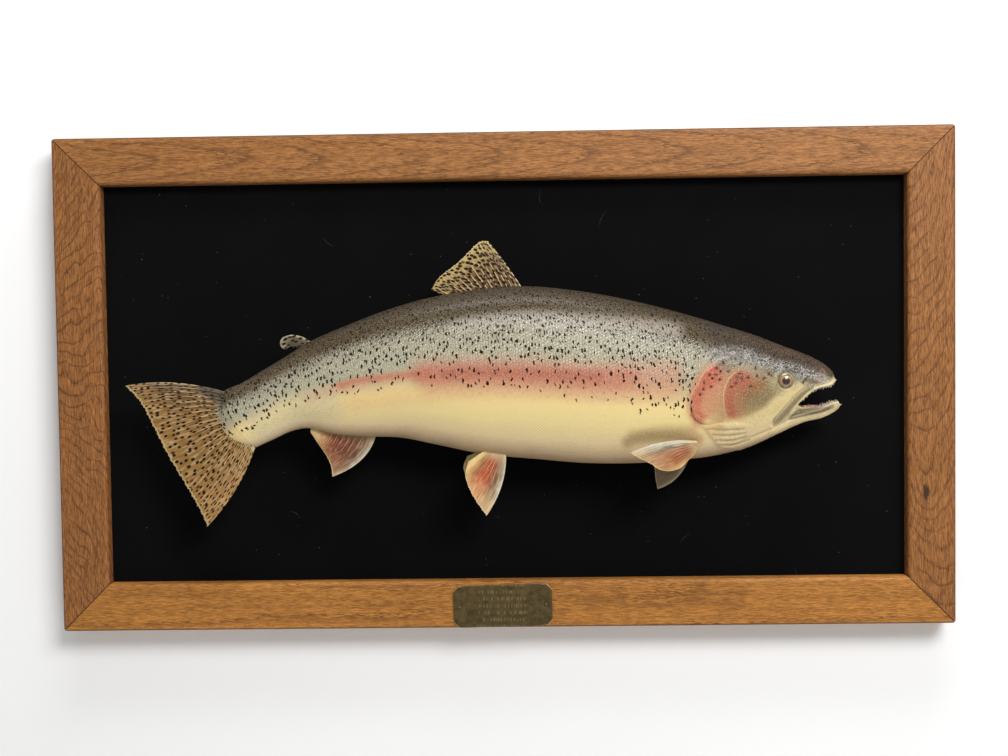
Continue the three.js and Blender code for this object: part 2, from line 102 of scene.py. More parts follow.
class Finish:
    """A material mixed from nodes."""

    def __init__(self, name):
        self.material = bpy.data.materials.new(name)
        self.material.use_nodes = True
        self.tree = self.material.node_tree
        self.tree.nodes.clear()

    def node(self, kind, settings=None, sockets=(), output=0):
        """Any node: its settings first, then the values or links of its sockets."""
        made = self.tree.nodes.new(kind)
        for name, setting in (settings or {}).items():
            if name == "stops":
                ramp = made.color_ramp
                while len(ramp.elements) < len(setting):
                    ramp.elements.new(0.5)
                for element, (place, colour) in zip(ramp.elements, setting):
                    element.position = place
                    element.color = (*colour, 1)
            else:
                setattr(made, name, setting)
        for key, given in sockets.items() if isinstance(sockets, dict) else enumerate(sockets):
            socket = made.inputs[key]
            if isinstance(given, Value):
                self.tree.links.new(given.socket, socket)
            elif isinstance(given, tuple) and len(socket.default_value) > len(given):
                socket.default_value = (*given, 1)
            else:
                socket.default_value = given
        return Value(self, made.outputs[output]) if len(made.outputs) else None

    def place(self):
        """Where a point of the piece lies, in millimetres."""
        metres = self.node("ShaderNodeTexCoord", output="Object")
        return self.node("ShaderNodeVectorMath", {"operation": "SCALE"}, {0: metres, "Scale": 1 / MM})

    def axes(self, vector):
        split = self.node("ShaderNodeSeparateXYZ", sockets=[vector])
        return [Value(self, socket) for socket in split.socket.node.outputs]

    def vector(self, x=0.0, y=0.0, z=0.0):
        return self.node("ShaderNodeCombineXYZ", sockets=[x, y, z])

    def stretched(self, vector, shares):
        return self.node("ShaderNodeVectorMath", {"operation": "MULTIPLY"}, [vector, shares])

    def noise(self, vector, scale=1.0, detail=2.0, roughness=0.5):
        sockets = {"Vector": vector, "Scale": scale, "Detail": detail, "Roughness": roughness}
        return self.node("ShaderNodeTexNoise", sockets=sockets)

    def cells(self, vector, output="Distance", scattered=1.0):
        """Flat cells one unit apart: the distance from each one's middle, or its own random colour."""
        sockets = {"Vector": vector, "Scale": 1.0, "Randomness": scattered}
        return self.node("ShaderNodeTexVoronoi", {"voronoi_dimensions": "2D"}, sockets, output)

    def carried(self, name, output="Vector"):
        """What each point of the mesh carries under that name."""
        return self.node("ShaderNodeAttribute", {"attribute_name": name}, output=output)

    def ramp(self, value, stops):
        return self.node("ShaderNodeValToRGB", {"stops": stops}, [value])

    def mix(self, share, base, over):
        """`over` laid on `base`. Sockets 6 and 7 of a mix are its two colours."""
        return self.node("ShaderNodeMix", {"data_type": "RGBA"}, {0: share, 6: base, 7: over}, output=2)

    def surface(self, colour, roughness, height=None, depth=1.0, metallic=0.0, **fixed):
        """The finished surface. `height` is the relief, `depth` millimetres high at 1."""
        sockets = {"Base Color": colour, "Roughness": roughness, "Metallic": metallic}
        sockets.update({name.replace("_", " "): value for name, value in fixed.items()})
        if height is not None:
            relief = {"Height": height, "Strength": 1.0, "Distance": depth * MM}
            sockets["Normal"] = self.node("ShaderNodeBump", sockets=relief)
        shader = self.node("ShaderNodeBsdfPrincipled", sockets=sockets)
        self.node("ShaderNodeOutputMaterial", sockets={"Surface": shader})
        return self.material


def piece(name, points, faces, finish, slot, smooth=True):
    """A mesh of the object, from points in metres, with the finish given. `slot` is not used."""
    mesh = bpy.data.meshes.new(name)
    mesh.from_pydata(np.asarray(points, float), [], faces)
    mesh.validate()
    mesh.update()
    if smooth:
        mesh.shade_smooth()
    made = bpy.data.objects.new(name, mesh)
    bpy.context.scene.collection.objects.link(made)
    mesh.materials.append(finish)
    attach(made, "root")
    return made


def grid_faces(rows, columns, closed=False):
    """Four-sided faces of a grid of points, row after row. A closed grid's last column meets its first."""
    gaps = columns if closed else columns - 1
    row, column = np.meshgrid(np.arange(rows - 1), np.arange(gaps), indexing="ij")
    here = row * columns + column
    beside = row * columns + (column + 1) % columns
    faces = np.stack([here, beside, beside + columns, here + columns], axis=-1)
    return faces.reshape(-1, 4).tolist()


def closed_faces(rows, sides):
    """Faces of a stack of rings of points, closed over its first and last ring."""
    ends = [list(range(sides))[::-1], list(range((rows - 1) * sides, rows * sides))]
    return grid_faces(rows, sides, closed=True) + ends


def oak(name, grain, seed, golden, dark, spacing, climb, arch, middle, wander, darkness, lean=0.0, knot=None):
    """Flat-sawn oak: thin dark ring lines, fine fibres, open pores, and an outer edge dark with wear and
    painted shade.

    The ring lines are `spacing` apart. They climb along the rail, arch about a middle line of it, wander to
    and fro and lean over towards its ends. A knot pushes them aside.
    """
    f = Finish(name)
    x, y, z = f.axes(f.place())
    along, across = (x, z) if grain == "X" else (z, x)
    drift = f.noise(f.vector(along * 0.011 + seed, across * 0.022, y * 0.03)) - 0.5
    ripple = f.noise(f.vector(along * 0.06 + seed, across * 0.09, y * 0.09)) - 0.5
    off_middle = across - middle
    sideways = off_middle + drift * 12
    ring = along * climb + sideways * sideways * arch + along * off_middle * lean
    ring = ring + drift * wander + ripple * (wander * 0.05 + 0.8) + y * 0.5
    if knot:
        beside, above = (along - knot[0]) * 0.6, (across - knot[1]) * 1.5
        off = (beside * beside + above * above).maths("SQRT")
        ring = ring + off.clear_of(34, 0) * 9
    phase = (ring / spacing).maths("FRACT")
    late = phase.clear_of(0.2, 0.0) * phase.clear_of(-0.01, 0.03)
    early = phase.clear_of(0.75, 1.0)
    fading = f.noise(f.vector(along * 0.02 + seed, across * 0.06, 3.0)).clear_of(0.36, 0.54)
    fibre = f.noise(f.vector(along * 0.1 + seed, across * 1.1, y * 1.1), 1.0, 3.0, 0.85)
    streak = f.noise(f.vector(along * 0.008 + seed, across * 0.2, y * 0.1), 1.0, 3.0, 0.6)
    pore = f.noise(f.vector(along * 0.14 + seed, across * 0.95, y * 0.95), 1.0, 1.0).clear_of(0.56, 0.62)
    pores = pore * (0.3 + 0.7 * early)
    colour = f.mix(streak.clear_of(0.25, 0.75), f.mix(0.25, dark, golden), golden)
    darker, lighter = f.mix(0.48, colour, tint(74, 43, 20)), f.mix(0.26, colour, tint(222, 160, 92))
    colour = f.mix(fibre.clear_of(0.38, 0.62), darker, lighter)
    colour = f.mix(phase.clear_of(0.3, 0.08) * fading * darkness * 0.3, colour, tint(112, 68, 38))
    colour = f.mix(late * (0.45 + 0.55 * fading) * darkness, colour, tint(58, 34, 20))
    colour = f.mix(pores * 0.62, colour, tint(62, 36, 17))
    if knot:
        ragged = off + (fibre - 0.5) * 7 + ripple * 5
        colour = f.mix(ragged.clear_of(6.0, 2.5) * 0.85, colour, tint(40, 28, 22))
    # The outer round-over is darkened partly by wear and partly as painted shade, and each mitre joint by a
    # dark line.
    low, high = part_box("rail_right")
    front = low.y / MM
    in_x = high.x / MM - x.maths("ABSOLUTE")
    in_z = high.z / MM - z.maths("ABSOLUTE")
    rim = in_x.maths("MINIMUM", in_z).clear_of(2.0, 0.5) * y.clear_of(front + 7, front + 2)
    mitre = (in_x - in_z).maths("ABSOLUTE").clear_of(1.1, 0.3)
    colour = f.mix(rim.maths("MAXIMUM", mitre) * 0.72, colour, tint(58, 38, 26))
    height = fibre * 0.25 - pores - late * 0.5
    gloss = 0.42 + fibre * 0.14 + pores * 0.2
    return f.surface(colour, gloss, height, 0.16, Specular_IOR_Level=0.25)


def rail(name, quarters, finish):
    """A rail made along the top edge, with mitred ends, and turned by quarters into its own place."""
    low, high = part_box(name)
    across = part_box("rail_right")[1].x if quarters % 2 else high.z if quarters == 0 else -low.z
    half = high.z if quarters % 2 else high.x
    front = low.y
    width = (high.x - low.x) if quarters % 2 else (high.z - low.z)

    def arc(inset, depth, radius, start):
        turns = [math.radians(start + 90 * k / 8) for k in range(9)]
        return [(inset + radius * math.cos(t), depth + radius * math.sin(t)) for t in turns]

    profile = [(0, 0), (0, front * 0.5)]
    profile += arc(OUTER_ROUND, front + OUTER_ROUND, OUTER_ROUND, 180)
    profile += [(width * k / 6, front) for k in range(1, 6)]
    profile += arc(width - SIGHT_ROUND, front + SIGHT_ROUND, SIGHT_ROUND, 270)
    profile += [(width, front + LIP_DEPTH), (width - RABBET, front + LIP_DEPTH), (width - RABBET, 0)]
    ends = np.array([0, 1, 2, 3, 4, 5, 7, 12, 30]) * MM
    stations = np.concatenate([ends, np.linspace(MITRE_REACH + MM, half, 8)[:-1]])
    stations = np.concatenate([stations, 2 * half - stations[::-1], [half]])
    points = []
    for station in np.unique(stations.round(6)):
        for inset, y in profile:
            # Near an end each station keeps its distance from the mitre, which runs at 45 degrees.
            mitre = half - inset - MITRE_GAP
            from_end = min(station, 2 * half - station)
            x = (half - station) / half * mitre
            if from_end < MITRE_REACH:
                x = math.copysign(mitre - from_end, half - station)
            z = across - inset
            dx, dz = abs(x) - (half - CORNER_ROUND), z - (across - CORNER_ROUND)
            if dx > 0 and dz > 0 and math.hypot(dx, dz) > CORNER_ROUND:
                pull = CORNER_ROUND / math.hypot(dx, dz)
                x = math.copysign(half - CORNER_ROUND + dx * pull, x)
                z = across - CORNER_ROUND + dz * pull
            points.append((x, y, z))
    faces = closed_faces(len(points) // len(profile), len(profile))
    turn = Matrix.Rotation(math.radians(90 * quarters), 3, "Y")
    made = piece(f"oak_{name}", [turn @ Vector(p) for p in points], faces, finish, "oak")
    made.data.set_sharp_from_angle(angle=math.radians(35))
    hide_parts(name)


# Each rail's oak has its own colour, partly the board's own and partly painted light and shade: the bottom
# rail is painted lighter than the others, the top and sides darker, for how each side of the frame is lit.
rail_finishes = {
    "rail_top": oak(
        "oak_top", "X", 3.1, tint(170, 112, 62), tint(124, 78, 42),
        spacing=8.0, climb=0.09, arch=0.024, middle=222.0, wander=8.0, darkness=0.42,
    ),
    "rail_right": oak(
        "oak_right", "Z", 17.7, tint(160, 102, 56), tint(112, 66, 34),
        spacing=6.0, climb=0.36, arch=-0.012, middle=408.0, wander=22.0, darkness=0.55, lean=-0.003,
        knot=(-114, 415),
    ),
    "rail_bottom": oak(
        "oak_bottom", "X", 41.3, tint(202, 134, 58), tint(152, 96, 38),
        spacing=5.0, climb=0.006, arch=0.006, middle=-215.0, wander=9.0, darkness=0.3,
    ),
    "rail_left": oak(
        "oak_left", "Z", 29.9, tint(162, 102, 56), tint(114, 68, 36),
        spacing=7.0, climb=0.6, arch=0.004, middle=-428.0, wander=46.0, darkness=0.66, lean=-0.006,
    ),
}
for quarters, (name, finish) in enumerate(rail_finishes.items()):
    rail(name, quarters, finish)

# ------------------------------------------------------------------ velvet panel
# Black velvet stretched over a thin panel and trapped behind the sight edge. It has gathered lint: short
# pale fibres and specks that lie on the pile.
LINT_FIBRES = 10
LINT_SPECKS = 110


def velvet():
    f = Finish("velvet")
    place = f.place()
    pile = f.noise(place, 1.9, 3.0, 0.7)
    brushed = f.noise(place, 0.015, 3.0, 0.6)
    colour = f.mix(brushed.clear_of(0.3, 0.75), tint(6, 6, 7), tint(8, 8, 9))
    colour = f.mix(pile.clear_of(0.55, 0.75) * 0.5, colour, tint(22, 22, 24))
    return f.surface(colour, 0.9, pile, 0.25, Specular_IOR_Level=0.08, Sheen_Weight=0.02, Sheen_Roughness=0.5)


def tube(path, radius, sides=5):
    """Points and faces of a closed tube along a path, tapered to nothing at both ends."""
    path = np.asarray(path, float)
    along = np.gradient(path, axis=0)
    along /= np.linalg.norm(along, axis=1, keepdims=True)
    side = np.cross(along, [0, 1, 0])
    side /= np.maximum(np.linalg.norm(side, axis=1, keepdims=True), 1e-9)
    up = np.cross(side, along)
    turns = np.arange(sides) / sides * 2 * math.pi
    radii = radius * np.sin(np.linspace(0.12, math.pi - 0.12, len(path))) ** 0.4
    ring = side[:, None] * np.cos(turns)[None, :, None] + up[:, None] * np.sin(turns)[None, :, None]
    points = (path[:, None] + ring * radii[:, None, None]).reshape(-1, 3)
    return points, closed_faces(len(path), sides)


def together(parts):
    """Several (points, faces) as one."""
    points, faces, start = [], [], 0
    for more_points, more_faces in parts:
        points.append(np.asarray(more_points, float))
        faces += [[start + corner for corner in face] for face in more_faces]
        start += len(more_points)
    return np.concatenate(points), faces


def lint():
    """Fibres and specks that lie on the face of the panel."""
    random = np.random.default_rng(7)
    low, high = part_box("velvet_panel")
    parts = []
    for i in range(LINT_FIBRES + LINT_SPECKS):
        x = random.uniform(low.x + 0.02, high.x - 0.02)
        z = random.uniform(low.z + 0.015, high.z - 0.015)
        long = random.uniform(8, 20) * MM if i < LINT_FIBRES else random.uniform(0.6, 1.3) * MM
        thick = 0.05 * MM if i < LINT_FIBRES else random.uniform(0.16, 0.42) * MM
        heading, bend = random.uniform(0, 2 * math.pi), random.uniform(-1.6, 1.6)
        steps = 10 if i < LINT_FIBRES else 4
        turns = heading + bend * np.linspace(0, 1, steps)
        run = np.cumsum(np.stack([np.cos(turns), np.sin(turns)]), axis=1) * long / steps
        y = np.full(steps, low.y - thick * 0.7)
        parts.append(tube(np.stack([x + run[0], y, z + run[1]], axis=1), thick))
    f = Finish("lint")
    grey = f.mix(f.noise(f.place(), 0.3), tint(72, 72, 76), tint(150, 150, 148))
    piece("velvet_lint", *together(parts), f.surface(grey, 0.8), "velvet")


def finish_node(name, finish):
    """Gives a carried-over solid its finish."""
    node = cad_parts[name]
    node.data.materials.clear()
    node.data.materials.append(finish)


finish_node("velvet_panel", velvet())
lint()

# ------------------------------------------------------------------ board, batten and hardware
# A plywood board backs the velvet. A batten glued to it takes the two screws that hold the fish, and a
# saw-tooth hanger is screwed on near each upper corner. All screws are countersunk, with cross recesses.
SCREWS = {"fish_screw_1": 5.0, "fish_screw_2": 5.0, **{f"hanger_screw_{i}": 2.6 for i in range(1, 5)}}


def plywood():
    f = Finish("plywood")
    x, y, z = f.axes(f.place())
    grain = f.noise(f.vector(x * 0.008, y * 0.5, z * 0.22), 1.0, 4.0, 0.6)
    figure = f.noise(f.vector(x * 0.0025, y * 0.1, z * 0.03), 1.0, 2.0)
    rings = (figure * 60).maths("SINE").clear_of(0.2, 1.0)
    plies = (y * 4.2).maths("SINE").clear_of(-0.2, 0.4)
    colour = f.mix(grain.clear_of(0.3, 0.7), tint(176, 140, 96), tint(205, 172, 126))
    colour = f.mix(rings * 0.35, colour, tint(150, 110, 70))
    colour = f.mix(plies * 0.12, colour, tint(120, 84, 52))
    return f.surface(colour, 0.72, grain, 0.1)


def steel():
    f = Finish("zinc_steel")
    place = f.place()
    blotch = f.noise(place, 0.35, 3.0)
    scratch = f.noise(f.stretched(place, (0.4, 4.0, 4.0)))
    colour = f.mix(blotch.clear_of(0.35, 0.7), tint(150, 150, 146), tint(196, 196, 192))
    return f.surface(colour, 0.3 + scratch * 0.25, scratch, 0.03, metallic=0.9)


def screw(name, head, finish):
    """A countersunk screw over its solid: the head is dished by a cross recess, and a thread winds down."""
    low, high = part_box(name)
    centre, back = (low + high) / 2, high.y
    rings, sides = 12, 40
    points = []
    for ring in range(rings):
        r = head * (ring / (rings - 1)) * MM
        for side in range(sides):
            a = 2 * math.pi * side / sides
            u, v = r * math.cos(a), r * math.sin(a)
            arm = min(abs(u), abs(v)) < 0.16 * head * MM and max(abs(u), abs(v)) < 0.62 * head * MM
            points.append((centre.x + u, back - (0.28 * head * MM if arm else 0), centre.z + v))
    length = (high.y - low.y) / MM
    sink, shank = 0.62 * head, 0.46 * head
    turns = int(length * 2)
    for k in range(turns + 1):
        depth = sink + (length - sink) * k / turns
        taper = min(1, (length - depth) / (1.2 * head)) + 0.02
        r = shank * taper * (1.0 if k % 2 else 0.8) * MM
        for side in range(sides):
            a = 2 * math.pi * side / sides
            points.append((centre.x + r * math.cos(a), back - depth * MM, centre.z + r * math.sin(a)))
    rows = len(points) // sides
    faces = grid_faces(rows, sides, closed=True) + [list(range((rows - 1) * sides, rows * sides))]
    made = piece(f"steel_{name}", points, faces, finish, "steel", smooth=False)
    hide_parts(name)


wood, zinc = plywood(), steel()
for name in ("backing_board", "back_batten"):
    finish_node(name, wood)
for name in ("hanger_left", "hanger_right"):
    finish_node(name, zinc)
for name, head in SCREWS.items():
    screw(name, head, zinc)

# ------------------------------------------------------------------ name plate
# A thin brass plate with clipped corners, antiqued dark and left bare, held by two round-headed pins. Its
# edges and clipped corners are rubbed back to bright metal.
PLATE_SIZE = (98 * MM, 41.4 * MM)
PLATE_THICK = 1.4 * MM
PLATE_CLIP = 5 * MM
PLATE_TILT = math.radians(1.4)
RUBBED_CORNER = 2.6 * MM
PIN_INSET = 6 * MM
ROW_PITCH = 6.9
plate_low, plate_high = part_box("name_plate")
plate_middle = Vector(((plate_low.x + plate_high.x) / 2, plate_high.y, (plate_low.z + plate_high.z) / 2))
plate_turn = Matrix.Rotation(-PLATE_TILT, 3, "Y")


def brass():
    f = Finish("antique_brass")
    place = f.place()
    x, y, z = f.axes(place)
    blotch = f.noise(place, 0.16, 4.0, 0.6)
    brushed = f.noise(f.vector(x * 0.12, y, z * 2.4), 1.0, 3.0, 0.7)
    speck = f.noise(place, 1.3, 2.0).clear_of(0.6, 0.72)
    worn = f.carried("worn", "Fac")
    # Rows of worn marks that spell nothing, in place of the engraving.
    across, up = x - plate_middle.x / MM, z - plate_middle.z / MM
    rows = (up * (2 * math.pi / ROW_PITCH) + 1.5).maths("SINE").clear_of(-0.15, 0.3)
    row = (up / ROW_PITCH).maths("ROUND")
    dashes = f.noise(f.vector(across * 0.62, row * 7.3), 1.0, 0.0).clear_of(0.5, 0.56)
    ends = f.noise(f.vector(0.0, row * 3.7, 5.0), 1.0, 0.0) * 16 + 18
    engraved = rows * dashes * (ends - across.maths("ABSOLUTE")).clear_of(0.0, 2.0)
    colour = f.mix(blotch.clear_of(0.3, 0.7), tint(78, 64, 40), tint(112, 95, 60))
    colour = f.mix(brushed.clear_of(0.4, 0.75) * 0.4, colour, tint(136, 118, 78))
    colour = f.mix(speck * 0.5, colour, tint(52, 42, 28))
    colour = f.mix(engraved * 0.5, colour, tint(154, 138, 100))
    rubbed = (worn * 1.2 - blotch * 0.9).clear_of(0.15, 0.7)
    colour = f.mix(rubbed, colour, tint(196, 178, 132))
    gloss = 0.46 + blotch * 0.12 - rubbed * 0.18
    return f.surface(colour, gloss, brushed + speck * 0.5, 0.05, metallic=0.75)


def carry(made, name, values, kind="FLOAT"):
    """Stores a value at each point of a mesh for its finish to read."""
    layer = made.data.attributes.new(name, kind, "POINT")
    field = {"FLOAT": "value", "FLOAT_VECTOR": "vector", "FLOAT_COLOR": "color"}[kind]
    layer.data.foreach_set(field, np.asarray(values, np.float32).ravel())


def plate_outline(shrink):
    half_w, half_h, clip = PLATE_SIZE[0] / 2 - shrink, PLATE_SIZE[1] / 2 - shrink, PLATE_CLIP - shrink * 0.6
    quarter = [
        (half_w - clip, -half_h), (half_w, -half_h + clip), (half_w, half_h - clip), (half_w - clip, half_h),
    ]
    corners = [(-half_w + clip, -half_h), *quarter, *[(-x, z) for x, z in quarter[:0:-1]]]
    outline = []
    for (x, z), (next_x, next_z) in zip(corners, corners[1:] + corners[:1]):
        steps = 3 if math.hypot(next_x - x, next_z - z) < 8 * MM else 12
        outline += [(x + (next_x - x) * k / steps, z + (next_z - z) * k / steps) for k in range(steps)]
    return outline


def name_plate(finish):
    bevels = [(0, 0), (0, 0.75), (0.1, 0.93), (0.3, 1), (1.4, 1), (3.6, 1)]
    points, worn = [], []
    for shrink, rise in bevels:
        for x, z in plate_outline(min(shrink * MM, PLATE_SIZE[1] / 2 - 0.4 * MM)):
            place = plate_turn @ Vector((x, -PLATE_THICK * rise, z)) + plate_middle
            points.append(place)
            from_clip = (PLATE_SIZE[0] + PLATE_SIZE[1]) / 2 - PLATE_CLIP - abs(x) - abs(z)
            corner = min(max(1 - from_clip / RUBBED_CORNER, 0), 1)
            worn.append(max(0.55 if 0 < shrink < 1 else 0, corner))
    faces = closed_faces(len(bevels), len(points) // len(bevels))
    made = piece("brass_plate", points, faces, finish, "brass", smooth=False)
    carry(made, "worn", worn)
    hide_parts("name_plate")


def plate_pin(side, finish, name):
    """A low domed head, with its shank in the rail. Its profile is in radius and rise, in millimetres."""
    profile = [(0.05, 0.95), (0.5, 0.9), (1.0, 0.7), (1.4, 0.4), (1.7, 0.02)]
    profile += [(0.8, 0), (0.8, -9), (0.05, -10)]
    sides = 24
    points, worn = [], []
    for radius, rise in profile:
        for k in range(sides):
            a = 2 * math.pi * k / sides
            x = side * (PLATE_SIZE[0] / 2 - PIN_INSET) + radius * MM * math.cos(a)
            y = -PLATE_THICK - 0.1 * MM - rise * MM
            points.append(plate_turn @ Vector((x, y, radius * MM * math.sin(a))) + plate_middle)
            worn.append(0.75 * min(rise, 1))
    made = piece(f"brass_{name}", points, closed_faces(len(profile), sides), finish, "brass")
    carry(made, "worn", worn)
    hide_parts(name)


old_brass = brass()
name_plate(old_brass)
plate_pin(-1, old_brass, "plate_pin_left")
plate_pin(1, old_brass, "plate_pin_right")

# ------------------------------------------------------------------ skin of the fish
# One tanned skin over the carved body, from the lips to the root of the tail, airbrushed in thin coats and
# varnished. It turns in over the lips and lines the mouth back to the throat.
# Sections from snout to tail: back x and z, belly x and z, and half the thickness.
SECTIONS = [
    [321, -1, 326.5, -26.4, 3],
    [317, 8, 322, -32, 10],
    [306, 16.5, 308, -38.8, 15],
    [291, 24, 290, -43, 19.5],
    [270, 32, 266, -53.5, 25],
    [243, 42.8, 240, -65, 31.5],
    [211, 53, 208, -73.2, 37],
    [173, 65, 172, -78, 40.5],
    [126, 77.5, 128, -80.6, 43],
    [75, 87.5, 80, -80, 43.5],
    [22, 93, 30, -75.4, 42.5],
    [-28, 90, -18, -70.5, 40],
    [-75, 82.2, -62, -61.2, 36.5],
    [-115, 70.9, -98, -53.5, 32],
    [-152, 57.2, -132, -51.6, 27],
    [-186, 43, -163, -48.8, 21.5],
    [-212, 27.4, -187, -42.9, 16.5],
    [-232, 15.8, -205, -45, 13],
    [-252, 4, -224, -53.2, 10.5],
    [-270.6, -3.9, -240.7, -60.6, 8],
]
MID_Y = -53.2
TAIL_SWING = 9
FAR_FLATTENING = 0.2
TAIL_BULGE = 7
HEAD_KEEL = 0.42
WIDEST = max(row[4] for row in SECTIONS)
COAT_DEPTH = 0.7
# Side view lines of the head, as x and z.
UPPER_LIP = [[321.5, -2.8], [313.6, -7.6], [305, -8.8], [297.3, -11.4], [287.5, -19], [281.5, -24.5]]
LOWER_LIP = [
    [327, -26], [322, -23.4], [317.5, -23.8], [312, -25.8], [305, -27.3], [286, -27.3], [281.5, -24.5],
]
MOUTH_CORNER = [281.5, -24.5]
GILL_COVER = [
    [214, 20.4], [205.6, 18.4], [192.7, 9.8], [187.4, 0.3], [182, -7.6], [178, -18], [178, -28],
    [182.5, -35.7], [189.5, -39.6], [201, -41], [209.7, -38], [207.6, -22], [208.7, -6], [216, 7], [217.5, 15],
]
GILL_CENTRE = [195, -12]
MEMBRANE_EDGE = [
    [188.7, -42], [191.5, -46.5], [196.3, -53], [202.5, -60.5], [207.5, -64.8], [215, -66.5], [224, -68],
]
MEMBRANE_FOLDS = [
    [[193.5, -45.2], [209.6, -46.7], [229, -46.4]],
    [[198.5, -51.2], [213.9, -52.2], [231, -50.6]],
    [[201.5, -56.6], [218.3, -57.4], [232, -54]],
    [[206, -61.6], [219.5, -61.8], [236, -57.5]],
]
PREOPERCLE = [
    [222, 15.5], [216.5, 8], [211, 0], [208.3, -11.7], [207.8, -22], [209.3, -30.5], [212.5, -38], [220, -42],
]
MAXILLA = [[296, -6], [288, -11], [278.2, -20.6], [268.4, -32], [259.4, -42.4]]
EYE_CENTRE = [268.4, -1.2]
EYE_RADIUS = 7.5
NOSTRILS = [[291.4, 1.3], [288.4, -0.2]]


def smooth_step(value, low, high):
    share = np.clip((value - low) / (high - low), 0, 1)
    return share * share * (3 - 2 * share)


def through(rows, t):
    """Points, t from 0 to 1 of the way, of the smooth line through evenly numbered rows."""
    rows = np.asarray(rows, float)
    padded = np.vstack([2 * rows[0] - rows[1], rows, 2 * rows[-1] - rows[-2]])
    step = np.clip(t, 0, 1) * (len(rows) - 1)
    first = np.minimum(step.astype(int), len(rows) - 2)
    f = (step - first)[..., None]
    a, b, c, d = (padded[first + k] for k in range(4))
    return 0.5 * (2 * b + (c - a) * f + (2 * a - 5 * b + 4 * c - d) * f**2 + (3 * b - a - 3 * c + d) * f**3)


def section(t):
    """The plane of one section: its centre and upward line in side view, half its height and its width."""
    rows = through(SECTIONS, t)
    span = rows[..., 0:2] - rows[..., 2:4]
    tall = np.hypot(span[..., 0], span[..., 1]) / 2
    up = span / (2 * tall[..., None])
    return (rows[..., 0:2] + rows[..., 2:4]) / 2, up, tall, rows[..., 4]


def skin(t, angle, grow=0.0):
    """A point of the skin in millimetres. Angle 0 is the back, pi / 2 the near flank and pi the belly."""
    t, angle = np.broadcast_arrays(np.asarray(t, float), np.asarray(angle, float))
    centre, up, tall, wide = section(t)
    rise = np.cos(angle)
    fullness = 0.84 + 0.16 * smooth_step(t, 0.5, 1)
    keel = HEAD_KEEL * (1 - smooth_step(t, 0.2, 0.42))
    spread = np.abs(np.sin(angle)) ** fullness * (1 - keel * np.maximum(-rise, 0) ** 1.5)
    near = np.sin(angle) > 0
    reach = np.where(near, wide, wide * (1 - FAR_FLATTENING * (wide / WIDEST) ** 2))
    tailward = TAIL_BULGE * smooth_step(t, 0.9, 1) * (1 - rise**2) + grow * (t - 0.5) / 0.5
    x = centre[..., 0] + up[..., 0] * (tall + grow) * rise - up[..., 1] * tailward
    z = centre[..., 1] + up[..., 1] * (tall + grow) * rise + up[..., 0] * tailward
    y = MID_Y - TAIL_SWING * smooth_step(t, 0.6, 1) + np.where(near, -1, 1) * (reach + grow) * spread
    return np.stack([x, y, z], axis=-1)


def outward(t, angle, grow=0.0):
    """The skin's outward direction, with the directions along it to the tail and round it."""
    step = 1e-3
    ahead = skin(np.minimum(t + step, 1), angle, grow) - skin(np.maximum(t - step, 0), angle, grow)
    round_ = skin(t, angle + step, grow) - skin(t, angle - step, grow)
    ahead /= np.linalg.norm(ahead, axis=-1, keepdims=True)
    round_ /= np.maximum(np.linalg.norm(round_, axis=-1, keepdims=True), 1e-9)
    normal = np.cross(ahead, round_)
    normal /= np.maximum(np.linalg.norm(normal, axis=-1, keepdims=True), 1e-9)
    return normal, ahead, round_


def on_flank(x, z, side=1, grow=0.0):
    """Where on the skin a place of the side view lies, as t and angle."""
    place = np.stack([np.asarray(x, float), np.asarray(z, float)], axis=-1)
    low, high = np.zeros(place.shape[:-1]), np.ones(place.shape[:-1])
    for _ in range(30):
        middle = (low + high) / 2
        centre, up, tall, _ = section(middle)
        off = place - centre
        tailward = -off[..., 0] * up[..., 1] + off[..., 1] * up[..., 0]
        low = np.where(tailward > 0, middle, low)
        high = np.where(tailward > 0, high, middle)
    centre, up, tall, _ = section(low)
    rise = ((place - centre) * up).sum(-1) / (tall + grow)
    return low, side * np.arccos(np.clip(rise, -0.999, 0.999))


def from_line(x, z, line, steps=60):
    """How far places of the side view lie from a smooth line, and how far along it, from 0 to 1."""
    t = np.linspace(0, 1, steps)
    path = through(line, t)
    best = np.full(np.shape(x), 1e9)
    along = np.zeros(np.shape(x))
    for (x0, z0), (x1, z1), start in zip(path[:-1], path[1:], t[:-1]):
        dx, dz = x1 - x0, z1 - z0
        share = np.clip(((x - x0) * dx + (z - z0) * dz) / (dx * dx + dz * dz), 0, 1)
        off = np.hypot(x - x0 - share * dx, z - z0 - share * dz)
        along = np.where(off < best, start + share * t[1], along)
        best = np.minimum(best, off)
    return best, along


def closed_line(outline, steps):
    """Points of a smooth closed outline."""
    rows = np.asarray(outline, float)
    rows = np.vstack([rows[-2:], rows, rows[:3]])
    count = len(outline)
    t = np.arange(steps) / steps * count
    return through(rows, (t + 2) / (len(rows) - 1))


def in_outline(x, z, outline, steps=90):
    """How deep places of the side view lie inside a closed outline, in millimetres. Outside is negative."""
    path = closed_line(outline, steps)
    inside = np.zeros(np.shape(x), bool)
    best = np.full(np.shape(x), 1e9)
    for (x0, z0), (x1, z1) in zip(path, np.roll(path, -1, axis=0)):
        crosses = (z0 > z) != (z1 > z)
        with np.errstate(divide="ignore", invalid="ignore"):
            at = x0 + (z - z0) / (z1 - z0) * (x1 - x0)
        inside ^= crosses & (x < at)
        dx, dz = x1 - x0, z1 - z0
        share = np.clip(((x - x0) * dx + (z - z0) * dz) / (dx * dx + dz * dz), 0, 1)
        best = np.minimum(best, np.hypot(x - x0 - share * dx, z - z0 - share * dz))
    return np.where(inside, best, -best)


